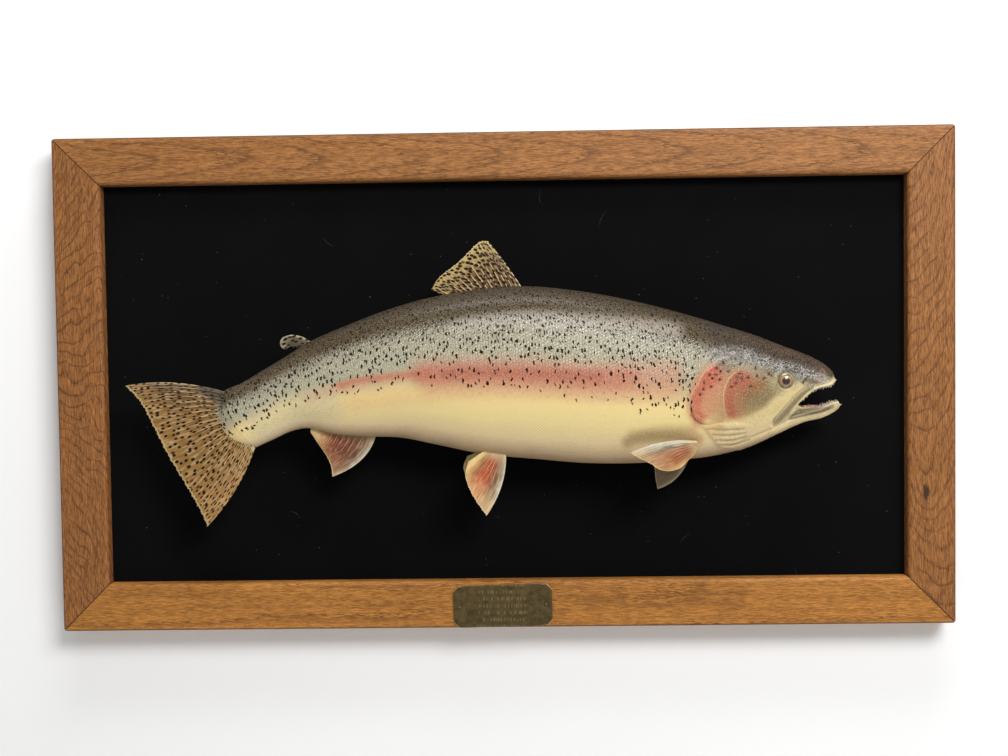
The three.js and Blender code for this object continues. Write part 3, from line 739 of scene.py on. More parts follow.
def relief(x, z):
    """How far the skin of the head stands out over its plain form, in millimetres."""
    height = np.zeros(np.shape(x))
    head = x > 176
    xh, zh = x[head], z[head]
    h = np.zeros(xh.shape)

    def ridge(line, width):
        """1 on a line, falling away to either side of it."""
        off, _ = from_line(xh, zh, line)
        return np.exp(-((off / width) ** 2))

    eye = np.hypot(xh - EYE_CENTRE[0], zh - EYE_CENTRE[1])
    socket = smooth_step(-eye, -EYE_RADIUS - 0.2, -EYE_RADIUS + 1.6)
    h += 0.9 * np.exp(-(((eye - EYE_RADIUS - 1.6) / 1.5) ** 2)) - 3.4 * socket
    for x0, z0 in NOSTRILS:
        pit = np.hypot(xh - x0, (zh - z0) * 1.2)
        h += 0.5 * np.exp(-(((pit - 2.1) / 0.9) ** 2)) - 1.5 * np.exp(-((pit / 1.2) ** 2))
    ahead = xh > np.interp(zh, [row[1] for row in PREOPERCLE][::-1], [row[0] for row in PREOPERCLE][::-1])
    h += np.where(ahead, 0.5 * ridge(PREOPERCLE, 1.8), 0) * smooth_step(-zh, -14, -4)
    h -= 1.5 * smooth_step(in_outline(xh, zh, GILL_COVER), 0.4, 2.6)
    strip, _ = from_line(xh, zh, MAXILLA)
    h -= 0.8 * smooth_step(-strip, -4.6, -3.0)
    before = in_outline(xh, zh, [*MEMBRANE_EDGE, [244, -72], [262, -50], [236, -42], [205, -40]])
    h += 1.3 * smooth_step(before, -1.4, 2.2) * (1 - smooth_step(xh, 216, 246))
    for fold in MEMBRANE_FOLDS:
        near, along = from_line(xh, zh, fold)
        h -= 0.75 * np.exp(-((near / 0.8) ** 2)) * np.sin(np.clip(along, 0.02, 0.98) * math.pi) ** 0.5
    # A groove under the jaw bone, a bar along the lower jaw, two bones by the eye and a groove over the lip.
    h -= 0.7 * ridge([[283, -30.5], [275, -39], [262, -46], [246, -53], [228, -58]], 1.3)
    h += 0.55 * ridge([[275, -33.4], [284, -31.6], [299, -31.6], [310, -30], [319, -27.2]], 1.5)
    h += 0.5 * ridge([[300, 6], [285, 10], [268, 11.5], [252, 10], [238, 14]], 1.8)
    h += 0.5 * ridge([[262, -13], [272, -12.5], [281, -7]], 1.8)
    h -= 0.5 * ridge([[320, 1], [315, -3.6], [308, -5.4], [299, -7.4]], 0.8)
    wrinkles = np.sin(xh * 0.83 + 1.7 * np.sin(zh * 0.31)) * np.sin(zh * 0.71 + 2.1 * np.sin(xh * 0.23))
    h += 0.16 * wrinkles * smooth_step(xh, 196, 215)
    height[head] = h
    return height


# Lengths along the fish and round it, which the scales and the spots are laid out by.
fine = np.linspace(0, 1, 1600)
centre_line = section(fine)[0]
steps_along = np.hypot(*np.diff(centre_line, axis=0).T)
length_to = np.concatenate([[0], np.cumsum(steps_along)])
LENGTH = length_to[-1]
turn_samples = np.linspace(0, math.pi, 181)


def t_at(length):
    return np.interp(length, length_to, fine)


def around(t):
    """For each t, the length round the skin from the back to each of the sample turns."""
    points = skin(np.asarray(t)[:, None], turn_samples[None, :])
    steps = np.linalg.norm(np.diff(points, axis=1), axis=-1)
    return np.concatenate([np.zeros((len(points), 1)), np.cumsum(steps, axis=1)], axis=1)


# Soft strokes of the airbrush over the shaded body: side view lines, half width, colour and strength.
STROKES = [
    # The first stroke is a painted highlight: a whitish sheen along the upper flank, where the light from
    # above glances off the scales.
    ([[178, 44], [148, 51], [92, 57], [35, 61], [-20, 58], [-60, 50]], 7, (208, 202, 190), 0.4),
    (
        [[176, -12], [148, -12], [92, -11], [35, -8], [-21, -7], [-77, -10], [-134, -16], [-170, -22]],
        9, (234, 182, 128), 0.34,
    ),
    ([[178, 0], [148, 3], [92, 2], [35, 6.5], [-21, 8.5], [-60, 8], [-88, 6]], 16, (204, 136, 110), 0.66),
    ([[-60, 9], [-93, 8], [-115, 5], [-137, 2], [-164, -5], [-186, -12]], 5.5, (214, 150, 120), 0.55),
    ([[140, 5], [92, 4.5], [35, 8.5], [-21, 10.5], [-68, 10], [-93, 9]], 10, (188, 98, 80), 0.6),
    ([[-68, 10.5], [-93, 9.3], [-111, 7.4], [-137, 4.6], [-156, 0]], 3.4, (186, 92, 76), 0.62),
    ([[90, 5.5], [35, 9], [-10, 11], [-55, 10]], 5.0, (156, 62, 54), 0.42),
    ([[118, -57], [127, -54], [140, -52], [156, -51], [172, -52], [184, -56]], 5.6, (128, 96, 50), 0.6),
    ([[122, -50], [148, -46], [178, -46]], 5, (170, 136, 84), 0.4),
    ([[184, -40], [181, -50], [186, -60]], 6, (236, 180, 130), 0.3),
    ([[-170, -20], [-200, -22], [-232, -36]], 16, (206, 200, 168), 0.55),
    ([[-190, 22], [-215, 8], [-240, -2], [-262, -4]], 9, (104, 98, 84), 0.26),
]
HEAD_STROKES = [
    ([[206, -12], [213, -25]], 26, (184, 138, 98), 0.9),
    ([[230, -10], [243, -9]], 16, (136, 88, 52), 0.95),
    ([[258, 8], [262, -10], [254, -22]], 9, (140, 130, 96), 0.8),
    ([[219, -22], [230, -27], [246, -21], [256, -10]], 9, (138, 120, 82), 0.62),
    ([[236, -20], [250, -14], [256, -6]], 7, (122, 110, 78), 0.5),
    ([[258, -3], [267, -11], [278, -9]], 5, (168, 156, 116), 0.75),
    ([[214, -42], [233, -40], [249.3, -32], [260, -22], [271, -15], [286, -7]], 5.5, (230, 208, 152), 0.95),
    ([[204, -50], [225, -54], [246, -50], [262, -44], [275, -40]], 9, (232, 210, 160), 0.95),
    ([[262, -47], [280, -41], [300, -39], [316, -33]], 5, (248, 226, 174), 0.95),
    ([[275, -34.5], [284.4, -31.5], [298.8, -30.4], [309, -28.2], [315, -26]], 3.6, (92, 80, 62), 0.94),
    ([[277, -37], [289.2, -33.2], [303.5, -29.8], [316, -24.6]], 0.8, (186, 176, 152), 0.8),
    ([[280, -32], [295.9, -29], [309.3, -26.4]], 0.7, (164, 154, 132), 0.7),
    ([[275, -38.3], [290.1, -35.4], [305.4, -32.2], [314, -28.6]], 0.9, (70, 60, 48), 0.75),
    ([[284, -31], [297, -28.2], [311, -25.6]], 0.6, (62, 54, 44), 0.6),
    ([[312, -25], [318, -23.4], [322, -25], [324, -28]], 2.4, (204, 192, 164), 0.7),
    (
        [[308, -9.6], [299.8, -11.9], [291.7, -17.5], [283.1, -24], [275.5, -32.6], [269.5, -40]],
        1.9, (218, 204, 160), 0.85,
    ),
    ([[304, -11], [295, -15], [287, -21.5], [279, -29]], 0.5, (128, 114, 84), 0.5),
    ([[190, 14], [226, 34], [262, 24], [292, 12], [314, 4]], 15, (40, 34, 28), 0.96),
    ([[206, 24], [226, 24], [247, 19], [262, 14], [282, 8], [300, 3]], 6.5, (58, 58, 58), 0.75),
    ([[300, 14], [312, 8], [318, 2]], 5.5, (58, 46, 38), 0.75),
    ([[262, 30], [285, 22]], 4, (74, 52, 42), 0.4),
    ([[307, 8], [302, 0], [297, -3]], 2.2, (118, 76, 60), 0.5),
    ([[299.6, -8.2], [309, -6.6], [316, -3.8], [320, 0]], 2.6, (214, 198, 160), 0.95),
    ([[292, -6], [284, -4.5], [277, -9]], 2.2, (176, 162, 124), 0.6),
    ([[203, 6], [194, -4], [190, -16], [190, -28], [196, -36]], 11, (200, 124, 98), 0.6),
    (
        [[205, 12], [198.5, 9], [190, 1], [185, -8], [181.4, -18], [181, -27], [184.5, -34], [193, -39]],
        6.4, (190, 78, 64), 0.78,
    ),
    ([[204, 6], [197, 0]], 7, (188, 88, 70), 0.6),
    ([[226, 2], [220, -6], [217, -16], [218, -28]], 9, (176, 96, 74), 0.5),
    ([[222, 4], [215.8, -3.6], [213, -12], [212.7, -22], [216, -31]], 4.6, (168, 78, 62), 0.7),
    ([[222, 5], [230, 1]], 6, (164, 82, 64), 0.7),
    (
        [[224, 11], [216, 5], [210.7, -2.5], [208.2, -11.7], [208, -22], [209.5, -30.5], [212, -37.5]],
        0.7, (216, 186, 138), 0.62,
    ),
    (
        [[214, 22], [205.6, 20.4], [192.2, 11.4], [186, 1.5], [180.6, -7.6], [176.6, -18], [176.6, -28]],
        1.0, (214, 190, 150), 0.5,
    ),
    ([[214, 18], [222, 14], [236, 12]], 4.0, (140, 132, 114), 0.6),
    # Dark lines along the folds of the gill membrane are painted shade in their creases.
    *[(fold, 0.7, (128, 112, 82), 0.7) for fold in MEMBRANE_FOLDS],
]
# Along this line over the cheek and crown the skin is silvery, and light specks painted on it stand for its
# glints.
SILVER_GLINT_LINE = [[196, 22], [214, 27], [232, 24], [248, 17], [262, 12.5], [280, 8], [296, 4], [304, 2]]
# Round black spots on the gill cover, the cheek and the shoulder.
HEAD_SPOTS = [
    [201.6, 12], [205.2, 9.1], [201.1, 6.1], [194.9, 6.1], [197.5, 2.5], [204.6, 1.4], [189.3, -1.2],
    [195.9, -5.4], [188.7, -7.3], [185.6, -12.4], [212.8, 9], [208.3, 17], [224, 6.6], [220.8, 3],
    [226.1, 2.5], [231.8, 2.9], [220.1, -2.1], [215.6, -5.6], [234, -5.8], [240.4, 4.3], [247.3, 1.9],
    [277.9, 7.9], [286.2, -3.1], [289.3, -0.9], [252, 6], [262.5, 13], [216, 24], [230, 30],
    [244, 26],
]
SPOT_RADIUS = 1.6


def airbrush(points):
    """The strokes laid over one another at each point, as a colour and how much it covers."""
    x, z = points[:, 0], points[:, 2]
    colour, cover = np.zeros((len(x), 3)), np.zeros(len(x))

    def lay(where, amount, paint):
        under = cover[where] * (1 - amount)
        total = amount + under
        mixed = amount[:, None] * np.array(tint(*paint)) + under[:, None] * colour[where]
        colour[where] = mixed / np.maximum(total, 1e-6)[:, None]
        cover[where] = total

    for strokes, region in ((STROKES, x < 205), (HEAD_STROKES, x > 168)):
        where = np.flatnonzero(region)
        for line, half, paint, strength in strokes:
            off, along = from_line(x[where], z[where], line, 40)
            ends = smooth_step(along, 0, 0.12) * (1 - smooth_step(along, 0.88, 1))
            fade = ends if len(line) > 4 and half > 6 else 1
            amount = strength * (1 - smooth_step(off, half * 0.2, half * 1.7)) * fade
            touched = amount > 0.003
            lay(where[touched], amount[touched], paint)
    where = np.flatnonzero(x > 176)
    for i, (x0, z0) in enumerate(HEAD_SPOTS):
        wobble = 1 + 0.25 * math.sin(i * 2.4)
        off = np.hypot((x[where] - x0) * wobble, (z[where] - z0) / wobble)
        amount = 1 - smooth_step(off, SPOT_RADIUS * 0.75, SPOT_RADIUS * 1.15)
        touched = amount > 0.003
        lay(where[touched], amount[touched], (20, 12, 8))
    return np.concatenate([colour, cover[:, None]], axis=1)


def flecks(points, rise):
    """How thickly the black spots, the silvery skin with its painted highlights, and the fine freckles stand.
    """
    x, z = points[:, 0], points[:, 2]
    lower = np.interp(x, [-240, -150, -60, 60, 120, 165], [-0.5, -0.24, -0.26, -0.3, -0.36, -0.5])
    thin = np.interp(x, [-240, -170, -100, 100, 170], [0, 0.0, 0.62, 0.62, 0.1])
    band = smooth_step(rise, lower, lower + 0.2) * (1 - thin * (1 - smooth_step(rise, 0.1, 0.3)))
    spots = band * (1 - smooth_step(x, 174, 190) * (1 - smooth_step(rise, 0.2, 0.5)))
    spots *= (1 - 0.55 * smooth_step(x, 200, 235)) * (1 - smooth_step(x, 285, 300))
    silver_glint_share = np.zeros(len(x))
    head = x > 180
    off, _ = from_line(x[head], z[head], SILVER_GLINT_LINE)
    silver_glint_share[head] = 1 - smooth_step(off, 2, 9)
    near_gills = x > 170
    spots[near_gills] *= smooth_step(-in_outline(x[near_gills], z[near_gills], GILL_COVER), -0.5, 0.5)
    freckles = smooth_step(rise, 0.3, 0.62) * (1 - smooth_step(x, 190, 220))
    return np.stack([spots, silver_glint_share, freckles], axis=1)


def paint(made, points, t, angle):
    """Carries on each point all that the finish of the fish reads."""
    rise = np.cos(angle)
    length = np.interp(t, fine, length_to) + np.maximum(t - 1, 0) * LENGTH
    t = np.minimum(t, 1)
    samples = 240
    table = around(np.linspace(0, 1, samples))
    row = np.clip(t * (samples - 1), 0, samples - 1.001)
    first = row.astype(int)
    share = row - first
    turned = (np.abs(angle) / math.pi * 180).clip(0, 179.999)
    column = turned.astype(int)
    f = turned - column
    before, after = (table[r, column] * (1 - f) + table[r, column + 1] * f for r in (first, first + 1))
    sideways = (before * (1 - share) + after * share) * np.sign(np.sin(angle) + 1e-9)
    carry(made, "lay", np.stack([length, sideways, rise], axis=1), "FLOAT_VECTOR")
    carry(made, "airbrush", airbrush(points), "FLOAT_COLOR")
    carry(made, "flecks", flecks(points, rise), "FLOAT_VECTOR")


def fish_paint(name, scaled):
    """The painted and varnished fish. `scaled` adds what each scale carries."""
    f = Finish(name)
    along, sideways, rise = f.axes(f.carried("lay"))
    thick, silver_and_glints, freckled = f.axes(f.carried("flecks"))
    flat = f.vector(along, sideways, 0.0)
    broad = f.noise(flat, 0.04, 3.0, 0.6)
    mottle = f.noise(flat, 0.3, 3.0, 0.65)
    grain = f.noise(flat, 0.75, 2.0, 0.7)
    level = rise + (broad - 0.5) * 0.1 + (mottle - 0.5) * 0.07
    # Colours by height round the body, from the belly's underside to the back. The darker tan of the lowest
    # two stops is painted shade under the belly.
    shade = f.ramp(level * 0.5 + 0.5, [
        (0.0, tint(176, 150, 116)), (0.05, tint(206, 180, 142)), (0.13, tint(240, 216, 166)),
        (0.24, tint(248, 226, 160)), (0.36, tint(242, 218, 152)), (0.46, tint(206, 188, 146)),
        (0.55, tint(172, 167, 137)), (0.7, tint(160, 154, 129)), (0.77, tint(134, 126, 104)),
        (0.82, tint(78, 66, 46)), (0.9, tint(64, 56, 46)), (1.0, tint(62, 56, 49)),
    ])
    head = along.clear_of(150, 118)
    body = 1 - head
    back = rise.clear_of(0.55, 0.76)
    upper = rise.clear_of(-0.1, 0.2)
    flank = upper * (1 - back)
    gilding = 0.55 - rise.clear_of(0.84, 0.95) * 0.3
    shade = f.mix(grain.clear_of(0.51, 0.58) * back * body * gilding, shade, tint(136, 112, 66))
    shade = f.mix(grain.clear_of(0.47, 0.4) * back * body * 0.7, shade, tint(30, 25, 18))
    shade = f.mix(grain.clear_of(0.52, 0.6) * flank * body * 0.5, shade, tint(220, 216, 196))
    shade = f.mix(grain.clear_of(0.47, 0.38) * flank * body * 0.55, shade, tint(112, 106, 84))
    brushed = f.carried("airbrush", "Color")
    cover = f.carried("airbrush", "Alpha")
    warmer, cooler = f.mix(0.42, brushed, tint(250, 206, 160)), f.mix(0.6, brushed, tint(118, 74, 76))
    patches = f.noise(flat, 0.22, 3.0, 0.8).clear_of(0.49, 0.62)
    patchy = f.mix(grain.clear_of(0.5, 0.58) * (0.6 - head * 0.3), brushed, warmer)
    patchy = f.mix(patches * body * 0.45, patchy, cooler)
    shade = f.mix(cover * (0.98 + (mottle - 0.54) * 0.5 * body), shade, patchy)
    if scaled:
        tone = f.carried("tone", "Fac")
        root, beside, _ = f.axes(f.carried("across"))
        # On the flank each scale carries a light oblique mark, a painted highlight standing for the light
        # glancing off its glossy rear, stronger on some scales than on others.
        slant = (beside - (root - 0.22) * 1.25).maths("ABSOLUTE")
        painted_glint = slant.clear_of(0.2, 0.06) * root.clear_of(0.0, 0.1)
        glint_strength = 0.1 + tone.clear_of(0.3, 0.95) * 0.6
        shade = f.mix(painted_glint * flank * glint_strength * (1 - cover * 0.75), shade, tint(232, 230, 216))
        edge = root.clear_of(0.3, 0.46)
        shade = f.mix(edge * upper * 0.34, shade, tint(92, 84, 64))
        low = rise.clear_of(-0.2, -0.6)
        one_way = ((along * 0.8 + sideways) * 2.1).maths("SINE")
        other_way = ((along * 0.8 - sideways) * 2.1).maths("SINE")
        hatched = one_way.maths("MAXIMUM", other_way).clear_of(0.35, 1.0)
        shade = f.mix(hatched * low * 0.17, shade, tint(118, 94, 62))
    # Small black spots, bent into commas and taller than long, and finer brown freckles over the back.
    swirl = f.node("ShaderNodeTexNoise", sockets={"Vector": flat, "Scale": 0.32}, output="Color")
    bent = f.node("ShaderNodeVectorMath", {"operation": "ADD"}, [flat, f.stretched(swirl, (4.6, 4.6, 4.6))])
    black = (3.8, 2.0, thick * 0.88, 0.25, tint(30, 17, 3))
    brown = (2.8, 1.35, freckled * 0.66, 0.24, tint(44, 31, 12))
    bare = 1.0
    for size, tall, amount, radius, colour in (black, brown):
        squashed = f.stretched(bent, (1 / size, 1 / size / tall, 1.0))
        off = f.cells(squashed, "Distance", 0.85)
        chance, weight, _ = f.axes(f.cells(squashed, "Color", 0.85))
        grown = (0.72 + weight * 0.5) * (1 - rise.clear_of(0.25, 0.6) * 0.25) * radius
        spot = (grown - off).clear_of(-0.02, 0.03) * (amount - chance).clear_of(0.0, 0.04)
        shade = f.mix(spot, shade, colour)
        bare = bare * (1 - spot)
    spark = f.noise(f.place(), 0.85, 2.0, 0.8)
    crackle = (f.noise(f.place(), 0.34, 3.0, 0.7) - 0.5).maths("ABSOLUTE").clear_of(0.045, 0.01)
    clumps = f.noise(f.place(), 0.11, 2.0).clear_of(0.42, 0.6)
    # Light crackle lines and specks over the silvery skin of the head are painted highlights, standing for the
    # sparkle of its glints.
    shade = f.mix(crackle * silver_and_glints * (0.25 + clumps * 0.6), shade, tint(214, 212, 206))
    shade = f.mix(spark.clear_of(0.56, 0.62) * silver_and_glints * 0.32, shade, tint(206, 204, 198))
    shade = f.mix(spark.clear_of(0.46, 0.38) * head * upper * 0.6, shade, tint(22, 18, 14))
    shade = f.mix(spark.clear_of(0.55, 0.66) * head * back * 0.25, shade, tint(120, 100, 72))
    lower_head = head * (1 - upper)
    shade = f.mix(spark.clear_of(0.47, 0.36) * lower_head * 0.28, shade, tint(120, 98, 62))
    shade = f.mix(grain.clear_of(0.55, 0.66) * head * (1 - back) * 0.2, shade, tint(250, 232, 196))
    height = mottle * 0.4 + head * spark * (0.7 + silver_and_glints * 2.2)
    gloss = 0.44 + mottle * 0.16 + back * 0.12 - silver_and_glints * 0.14
    varnish = {"Specular_IOR_Level": 0.12, "Coat_Weight": bare * 0.2, "Coat_Roughness": 0.24}
    return f.surface(shade, gloss, height, 0.16, **varnish)


UPPER_COLUMNS = 64
LOWER_COLUMNS = 42
LIP_ROUND = 1.5
RUMP_REACH = 15
LINING = 24
THROAT_DEPTH = 26
THROAT_DROP = 6
JAW_TIP = 1.4


def lip_angle(t, lip):
    """The angle at which each section meets a lip line."""
    rises = np.linspace(1, -1, 801)
    centre, up, tall, _ = section(t)
    x = centre[:, 0:1] + up[:, 0:1] * tall[:, None] * rises
    z = centre[:, 1:2] + up[:, 1:2] * tall[:, None] * rises
    path = through(lip[::-1] if lip[0][0] > lip[-1][0] else lip, np.linspace(0, 1, 200))
    order = np.argsort(path[:, 0])
    above = z - np.interp(x, path[order, 0], path[order, 1])
    found = [np.interp(0, -row, rises) for row in above]
    return np.arccos(np.clip(found, -0.995, 0.999))


def fish_skin():
    corner_t = float(on_flank([MOUTH_CORNER[0]], [MOUTH_CORNER[1]])[0][0])
    corner_length = np.interp(corner_t, fine, length_to)
    lengths = [0.0]
    while lengths[-1] < LENGTH:
        pitch = np.interp(lengths[-1], [0, 8, 150, 260, LENGTH], [0.45, 0.8, 0.85, 2.8, 2.2])
        lengths.append(lengths[-1] + pitch)
    lengths = np.array(lengths)
    corner = int(np.argmin(np.abs(lengths - corner_length)))
    lengths[: corner + 1] *= corner_length / lengths[corner]
    behind = lengths[corner:] - lengths[corner]
    lengths[corner:] = corner_length + behind * (LENGTH - corner_length) / behind[-1]
    t = t_at(lengths)
    t[corner] = corner_t
    upper = lip_angle(t[: corner + 1], UPPER_LIP)
    lower = lip_angle(t[: corner + 1], LOWER_LIP)
    corner_angle = (upper[-1] + lower[-1]) / 2
    upper[-1] = lower[-1] = corner_angle
    upper = np.concatenate([upper, np.full(len(t) - corner - 1, corner_angle)])
    lower = np.concatenate([lower, np.full(len(t) - corner - 1, corner_angle)])

    def sheet(rows, share, angles):
        """Rings of one sheet. share runs from -1 at the far lip to 1 at the near one."""
        ring_t = np.broadcast_to(t[rows, None], angles.shape)
        depth = COAT_DEPTH * smooth_step(lengths[rows, None], 128, 150) + 0.15
        points = skin(ring_t, angles, -depth)
        normal, _, _ = outward(ring_t, angles, -depth)
        points = points + normal * relief(points[..., 0], points[..., 2])[..., None]
        if rows[0] == 0:
            # The edge along the mouth curls in over the lip.
            gap = np.linalg.norm(points - points[:, -1:, :], axis=-1)
            gap = np.minimum(gap, np.linalg.norm(points - points[:, :1, :], axis=-1))
            open_ = smooth_step(corner_length - lengths[rows, None], 0, 4)
            curl = LIP_ROUND - np.sqrt(np.maximum(LIP_ROUND**2 - np.maximum(LIP_ROUND - gap, 0) ** 2, 0))
            points[..., 1] += np.sign(share) * np.minimum(curl, 1.2) * open_
        return points, ring_t, angles

    def spaced(columns):
        """Shares from -1 to 1 for the columns of a sheet, and the same drawn out towards the lips."""
        share = np.linspace(-1, 1, 2 * columns + 1)
        return share, np.sign(share) * (1 - (1 - np.abs(share)) ** 1.25)

    def turned_over(faces):
        return [face[::-1] for face in faces]

    parts, everywhere_t, everywhere_angle = [], [], []

    def add(points, ring_t, angles, faces):
        parts.append((points.reshape(-1, 3), faces))
        everywhere_t.append(np.broadcast_to(ring_t, points.shape[:-1]).ravel())
        everywhere_angle.append(np.broadcast_to(angles, points.shape[:-1]).ravel())

    share_up, eased_up = spaced(UPPER_COLUMNS)
    share_low, eased_low = spaced(LOWER_COLUMNS)
    mouth_rows = np.arange(corner + 1)
    body_rows = np.arange(corner, len(t))
    up_angles = eased_up[None, :] * upper[:, None]
    low_angles = math.pi - eased_low[None, :] * (math.pi - lower[:, None])
    low_angles = np.where(low_angles > math.pi, low_angles - 2 * math.pi, low_angles)
    # The upper sheet runs from the far lip over the back to the near lip, the lower one on under the belly.
    jaw_up = sheet(mouth_rows, share_up[None, :], up_angles[mouth_rows])
    jaw_low = sheet(mouth_rows, share_low[None, :], low_angles[mouth_rows])
    add(*jaw_up, grid_faces(len(mouth_rows), len(share_up)))
    add(*jaw_low, turned_over(grid_faces(len(mouth_rows), len(share_low))))
    ring = np.concatenate([up_angles, low_angles[:, ::-1][:, 1:-1]], axis=1)[body_rows]
    ring_share = np.concatenate([share_up, share_low[1:-1]])
    body = sheet(body_rows, ring_share[None, :], ring)
    add(*body, grid_faces(len(body_rows), ring.shape[1], closed=True))

    # The lining of each jaw is an arch from lip to lip, and both close to a throat behind the corner.
    across = np.linspace(0, 1, LINING + 1)
    arch = 1 - np.abs(2 * across - 1) ** 2.6
    for jaw, way, room in ((jaw_up[0], 1, 0.5), (jaw_low[0], -1, 0.45)):
        far, near = jaw[:, 0], jaw[:, -1]
        middle = jaw[:, jaw.shape[1] // 2]
        lift = np.abs(middle[:, 2] - (far[:, 2] + near[:, 2]) / 2) * room
        lift = np.minimum(lift, 9 if way > 0 else 6)
        lining = far[:, None] + (near - far)[:, None] * across[None, :, None]
        lining[..., 2] += way * lift[:, None] * arch[None, :]
        # Behind the corner the lining narrows to the throat.
        corner_ring = lining[-1]
        corner_middle = (corner_ring[0] + corner_ring[-1]) / 2
        throat = []
        for k in range(1, 9):
            turn = k / 8 * math.pi / 2
            ring_points = corner_middle + (corner_ring - corner_middle) * [1, math.cos(turn), math.cos(turn)]
            ring_points[:, 0] -= THROAT_DEPTH * math.sin(turn)
            ring_points[:, 2] -= THROAT_DROP * k / 8
            throat.append(ring_points)
        whole = np.concatenate([lining, np.array(throat)])
        faces = grid_faces(len(whole), LINING + 1)
        add(whole, corner_t, corner_angle, turned_over(faces) if way > 0 else faces)
        # The tip of the jaw closes over the first ring.
        tip = np.concatenate([jaw[0], lining[0][1:-1][::-1]])
        tips = [tip]
        for k in range(1, 5):
            turn = k / 4 * math.pi / 2
            ring_points = tip.mean(0) + (tip - tip.mean(0)) * (math.cos(turn) * 0.98 + 0.02)
            ring_points[:, 0] += JAW_TIP * math.sin(turn)
            tips.append(ring_points)
        count = len(tip)
        faces = grid_faces(len(tips), count, closed=True) + [list(range(4 * count, 5 * count))]
        add(np.array(tips), 0.0, 0.5 if way > 0 else 2.6, turned_over(faces) if way > 0 else faces)
    # The rump closes inside the root of the tail fin.
    last = body[0][-1]
    count = len(last)
    _, up, _, _ = section(np.array([1.0]))
    reach = RUMP_REACH * (1 - np.cos(ring[-1]) ** 2)
    shares = np.linspace(0, 1, 13)
    rump = [last]
    for share in shares[1:]:
        ring_points = last.copy()
        ring_points[:, 0] -= up[0, 1] * reach * share
        ring_points[:, 2] += up[0, 0] * reach * share
        slim = 1 - 0.82 * share + 0.1 * math.sin(math.pi * share)
        ring_points[:, 1] = MID_Y - TAIL_SWING + (last[:, 1] - MID_Y + TAIL_SWING) * slim
        rump.append(ring_points)
    rump.append(np.column_stack([rump[-1][:, 0], np.full(count, MID_Y - TAIL_SWING), rump[-1][:, 2]]))
    rows_out = np.append(shares, 1.0)[:, None]
    rump_t = 1.0 + rows_out * reach[None, :] / LENGTH
    add(np.array(rump), rump_t, ring[-1][None, :], grid_faces(len(rump), count, closed=True))

    points, faces = together(parts)
    return points, faces, np.concatenate(everywhere_t), np.concatenate(everywhere_angle)


def weld(made, reach=0.02 * MM):
    """Joins the sheets of a mesh where their edges meet, and turns every face outward."""
    work = bmesh.new()
    work.from_mesh(made.data)
    bmesh.ops.remove_doubles(work, verts=work.verts, dist=reach)
    bmesh.ops.recalc_face_normals(work, faces=work.faces)
    work.to_mesh(made.data)
    work.free()


bare_paint = fish_paint("varnished_skin", scaled=False)
points, faces, t, angle = fish_skin()
body_skin = piece("fish_skin", points * MM, faces, bare_paint, "body_skin")
paint(body_skin, points, t, angle)
weld(body_skin)
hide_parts("head", "lower_jaw", "trunk_front", "trunk_rear", "tail_stalk")

# ------------------------------------------------------------------ gill covers and upper jaw bones
# Thin plates under the skin, bedded on the head: the gill cover hinges ahead and stands proud along its
# rear edge, and the maxilla lies as a strip behind the mouth.
FLAP_THICK = 1.5
RIM_STEPS = 5


def flap(name, x, z, height, side, node, thick=FLAP_THICK, slot="head_skin"):
    """A closed plate over a grid of side view places whose first row is its middle and last row its edge."""
    t, angle = on_flank(x, z, side)
    surface = skin(t, angle)
    normal, _, _ = outward(t, angle)
    normal *= np.sign(normal[..., 1:2] * -side)
    top = surface + normal * height[..., None]
    edge, edge_normal = top[-1], normal[-1]
    away = top[-1] - top[-2]
    away -= (away * edge_normal).sum(-1, keepdims=True) * edge_normal
    away /= np.linalg.norm(away, axis=-1, keepdims=True)
    rim = []
    for k in range(1, RIM_STEPS + 1):
        turn = math.pi * k / RIM_STEPS
        rim.append(edge + away * math.sin(turn) * thick / 2 - edge_normal * (1 - math.cos(turn)) * thick / 2)
    bottom = (top - normal * thick)[::-1][1:]
    rings = np.concatenate([top, np.array(rim), bottom])
    faces = grid_faces(len(rings), x.shape[1], closed=True)
    points = rings.reshape(-1, 3)
    made = piece(name, points * MM, faces, bare_paint, slot)
    all_t = np.concatenate([t, np.repeat(t[-1:], RIM_STEPS, axis=0), t[::-1][1:]])
    all_angle = np.concatenate([angle, np.repeat(angle[-1:], RIM_STEPS, axis=0), angle[::-1][1:]])
    paint(made, points, all_t.ravel(), all_angle.ravel())
    weld(made)
    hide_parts(node)


def gill_cover(side, name):
    outline = closed_line(GILL_COVER, 140)
    shares = np.concatenate([[0.0], np.linspace(0.06, 0.9, 22), np.linspace(0.92, 1.0, 6)])
    x = GILL_CENTRE[0] + (outline[:, 0] - GILL_CENTRE[0])[None, :] * shares[:, None]
    z = GILL_CENTRE[1] + (outline[:, 1] - GILL_CENTRE[1])[None, :] * shares[:, None]
    rear = 1 - smooth_step(x, 188, 207)
    height = 0.1 + 0.75 * rear * smooth_step(shares[:, None], 0.2, 0.9)
    height += 0.3 * np.exp(-(((shares[:, None] - 0.93) / 0.05) ** 2)) * rear
    ribs = np.sin(np.hypot(x - 214, z - 14) * 0.9) * 0.06 * smooth_step(shares[:, None], 0.2, 0.5)
    flap(f"gill_flap_{name}", x, z, height + ribs, side, f"gill_cover_{name}")


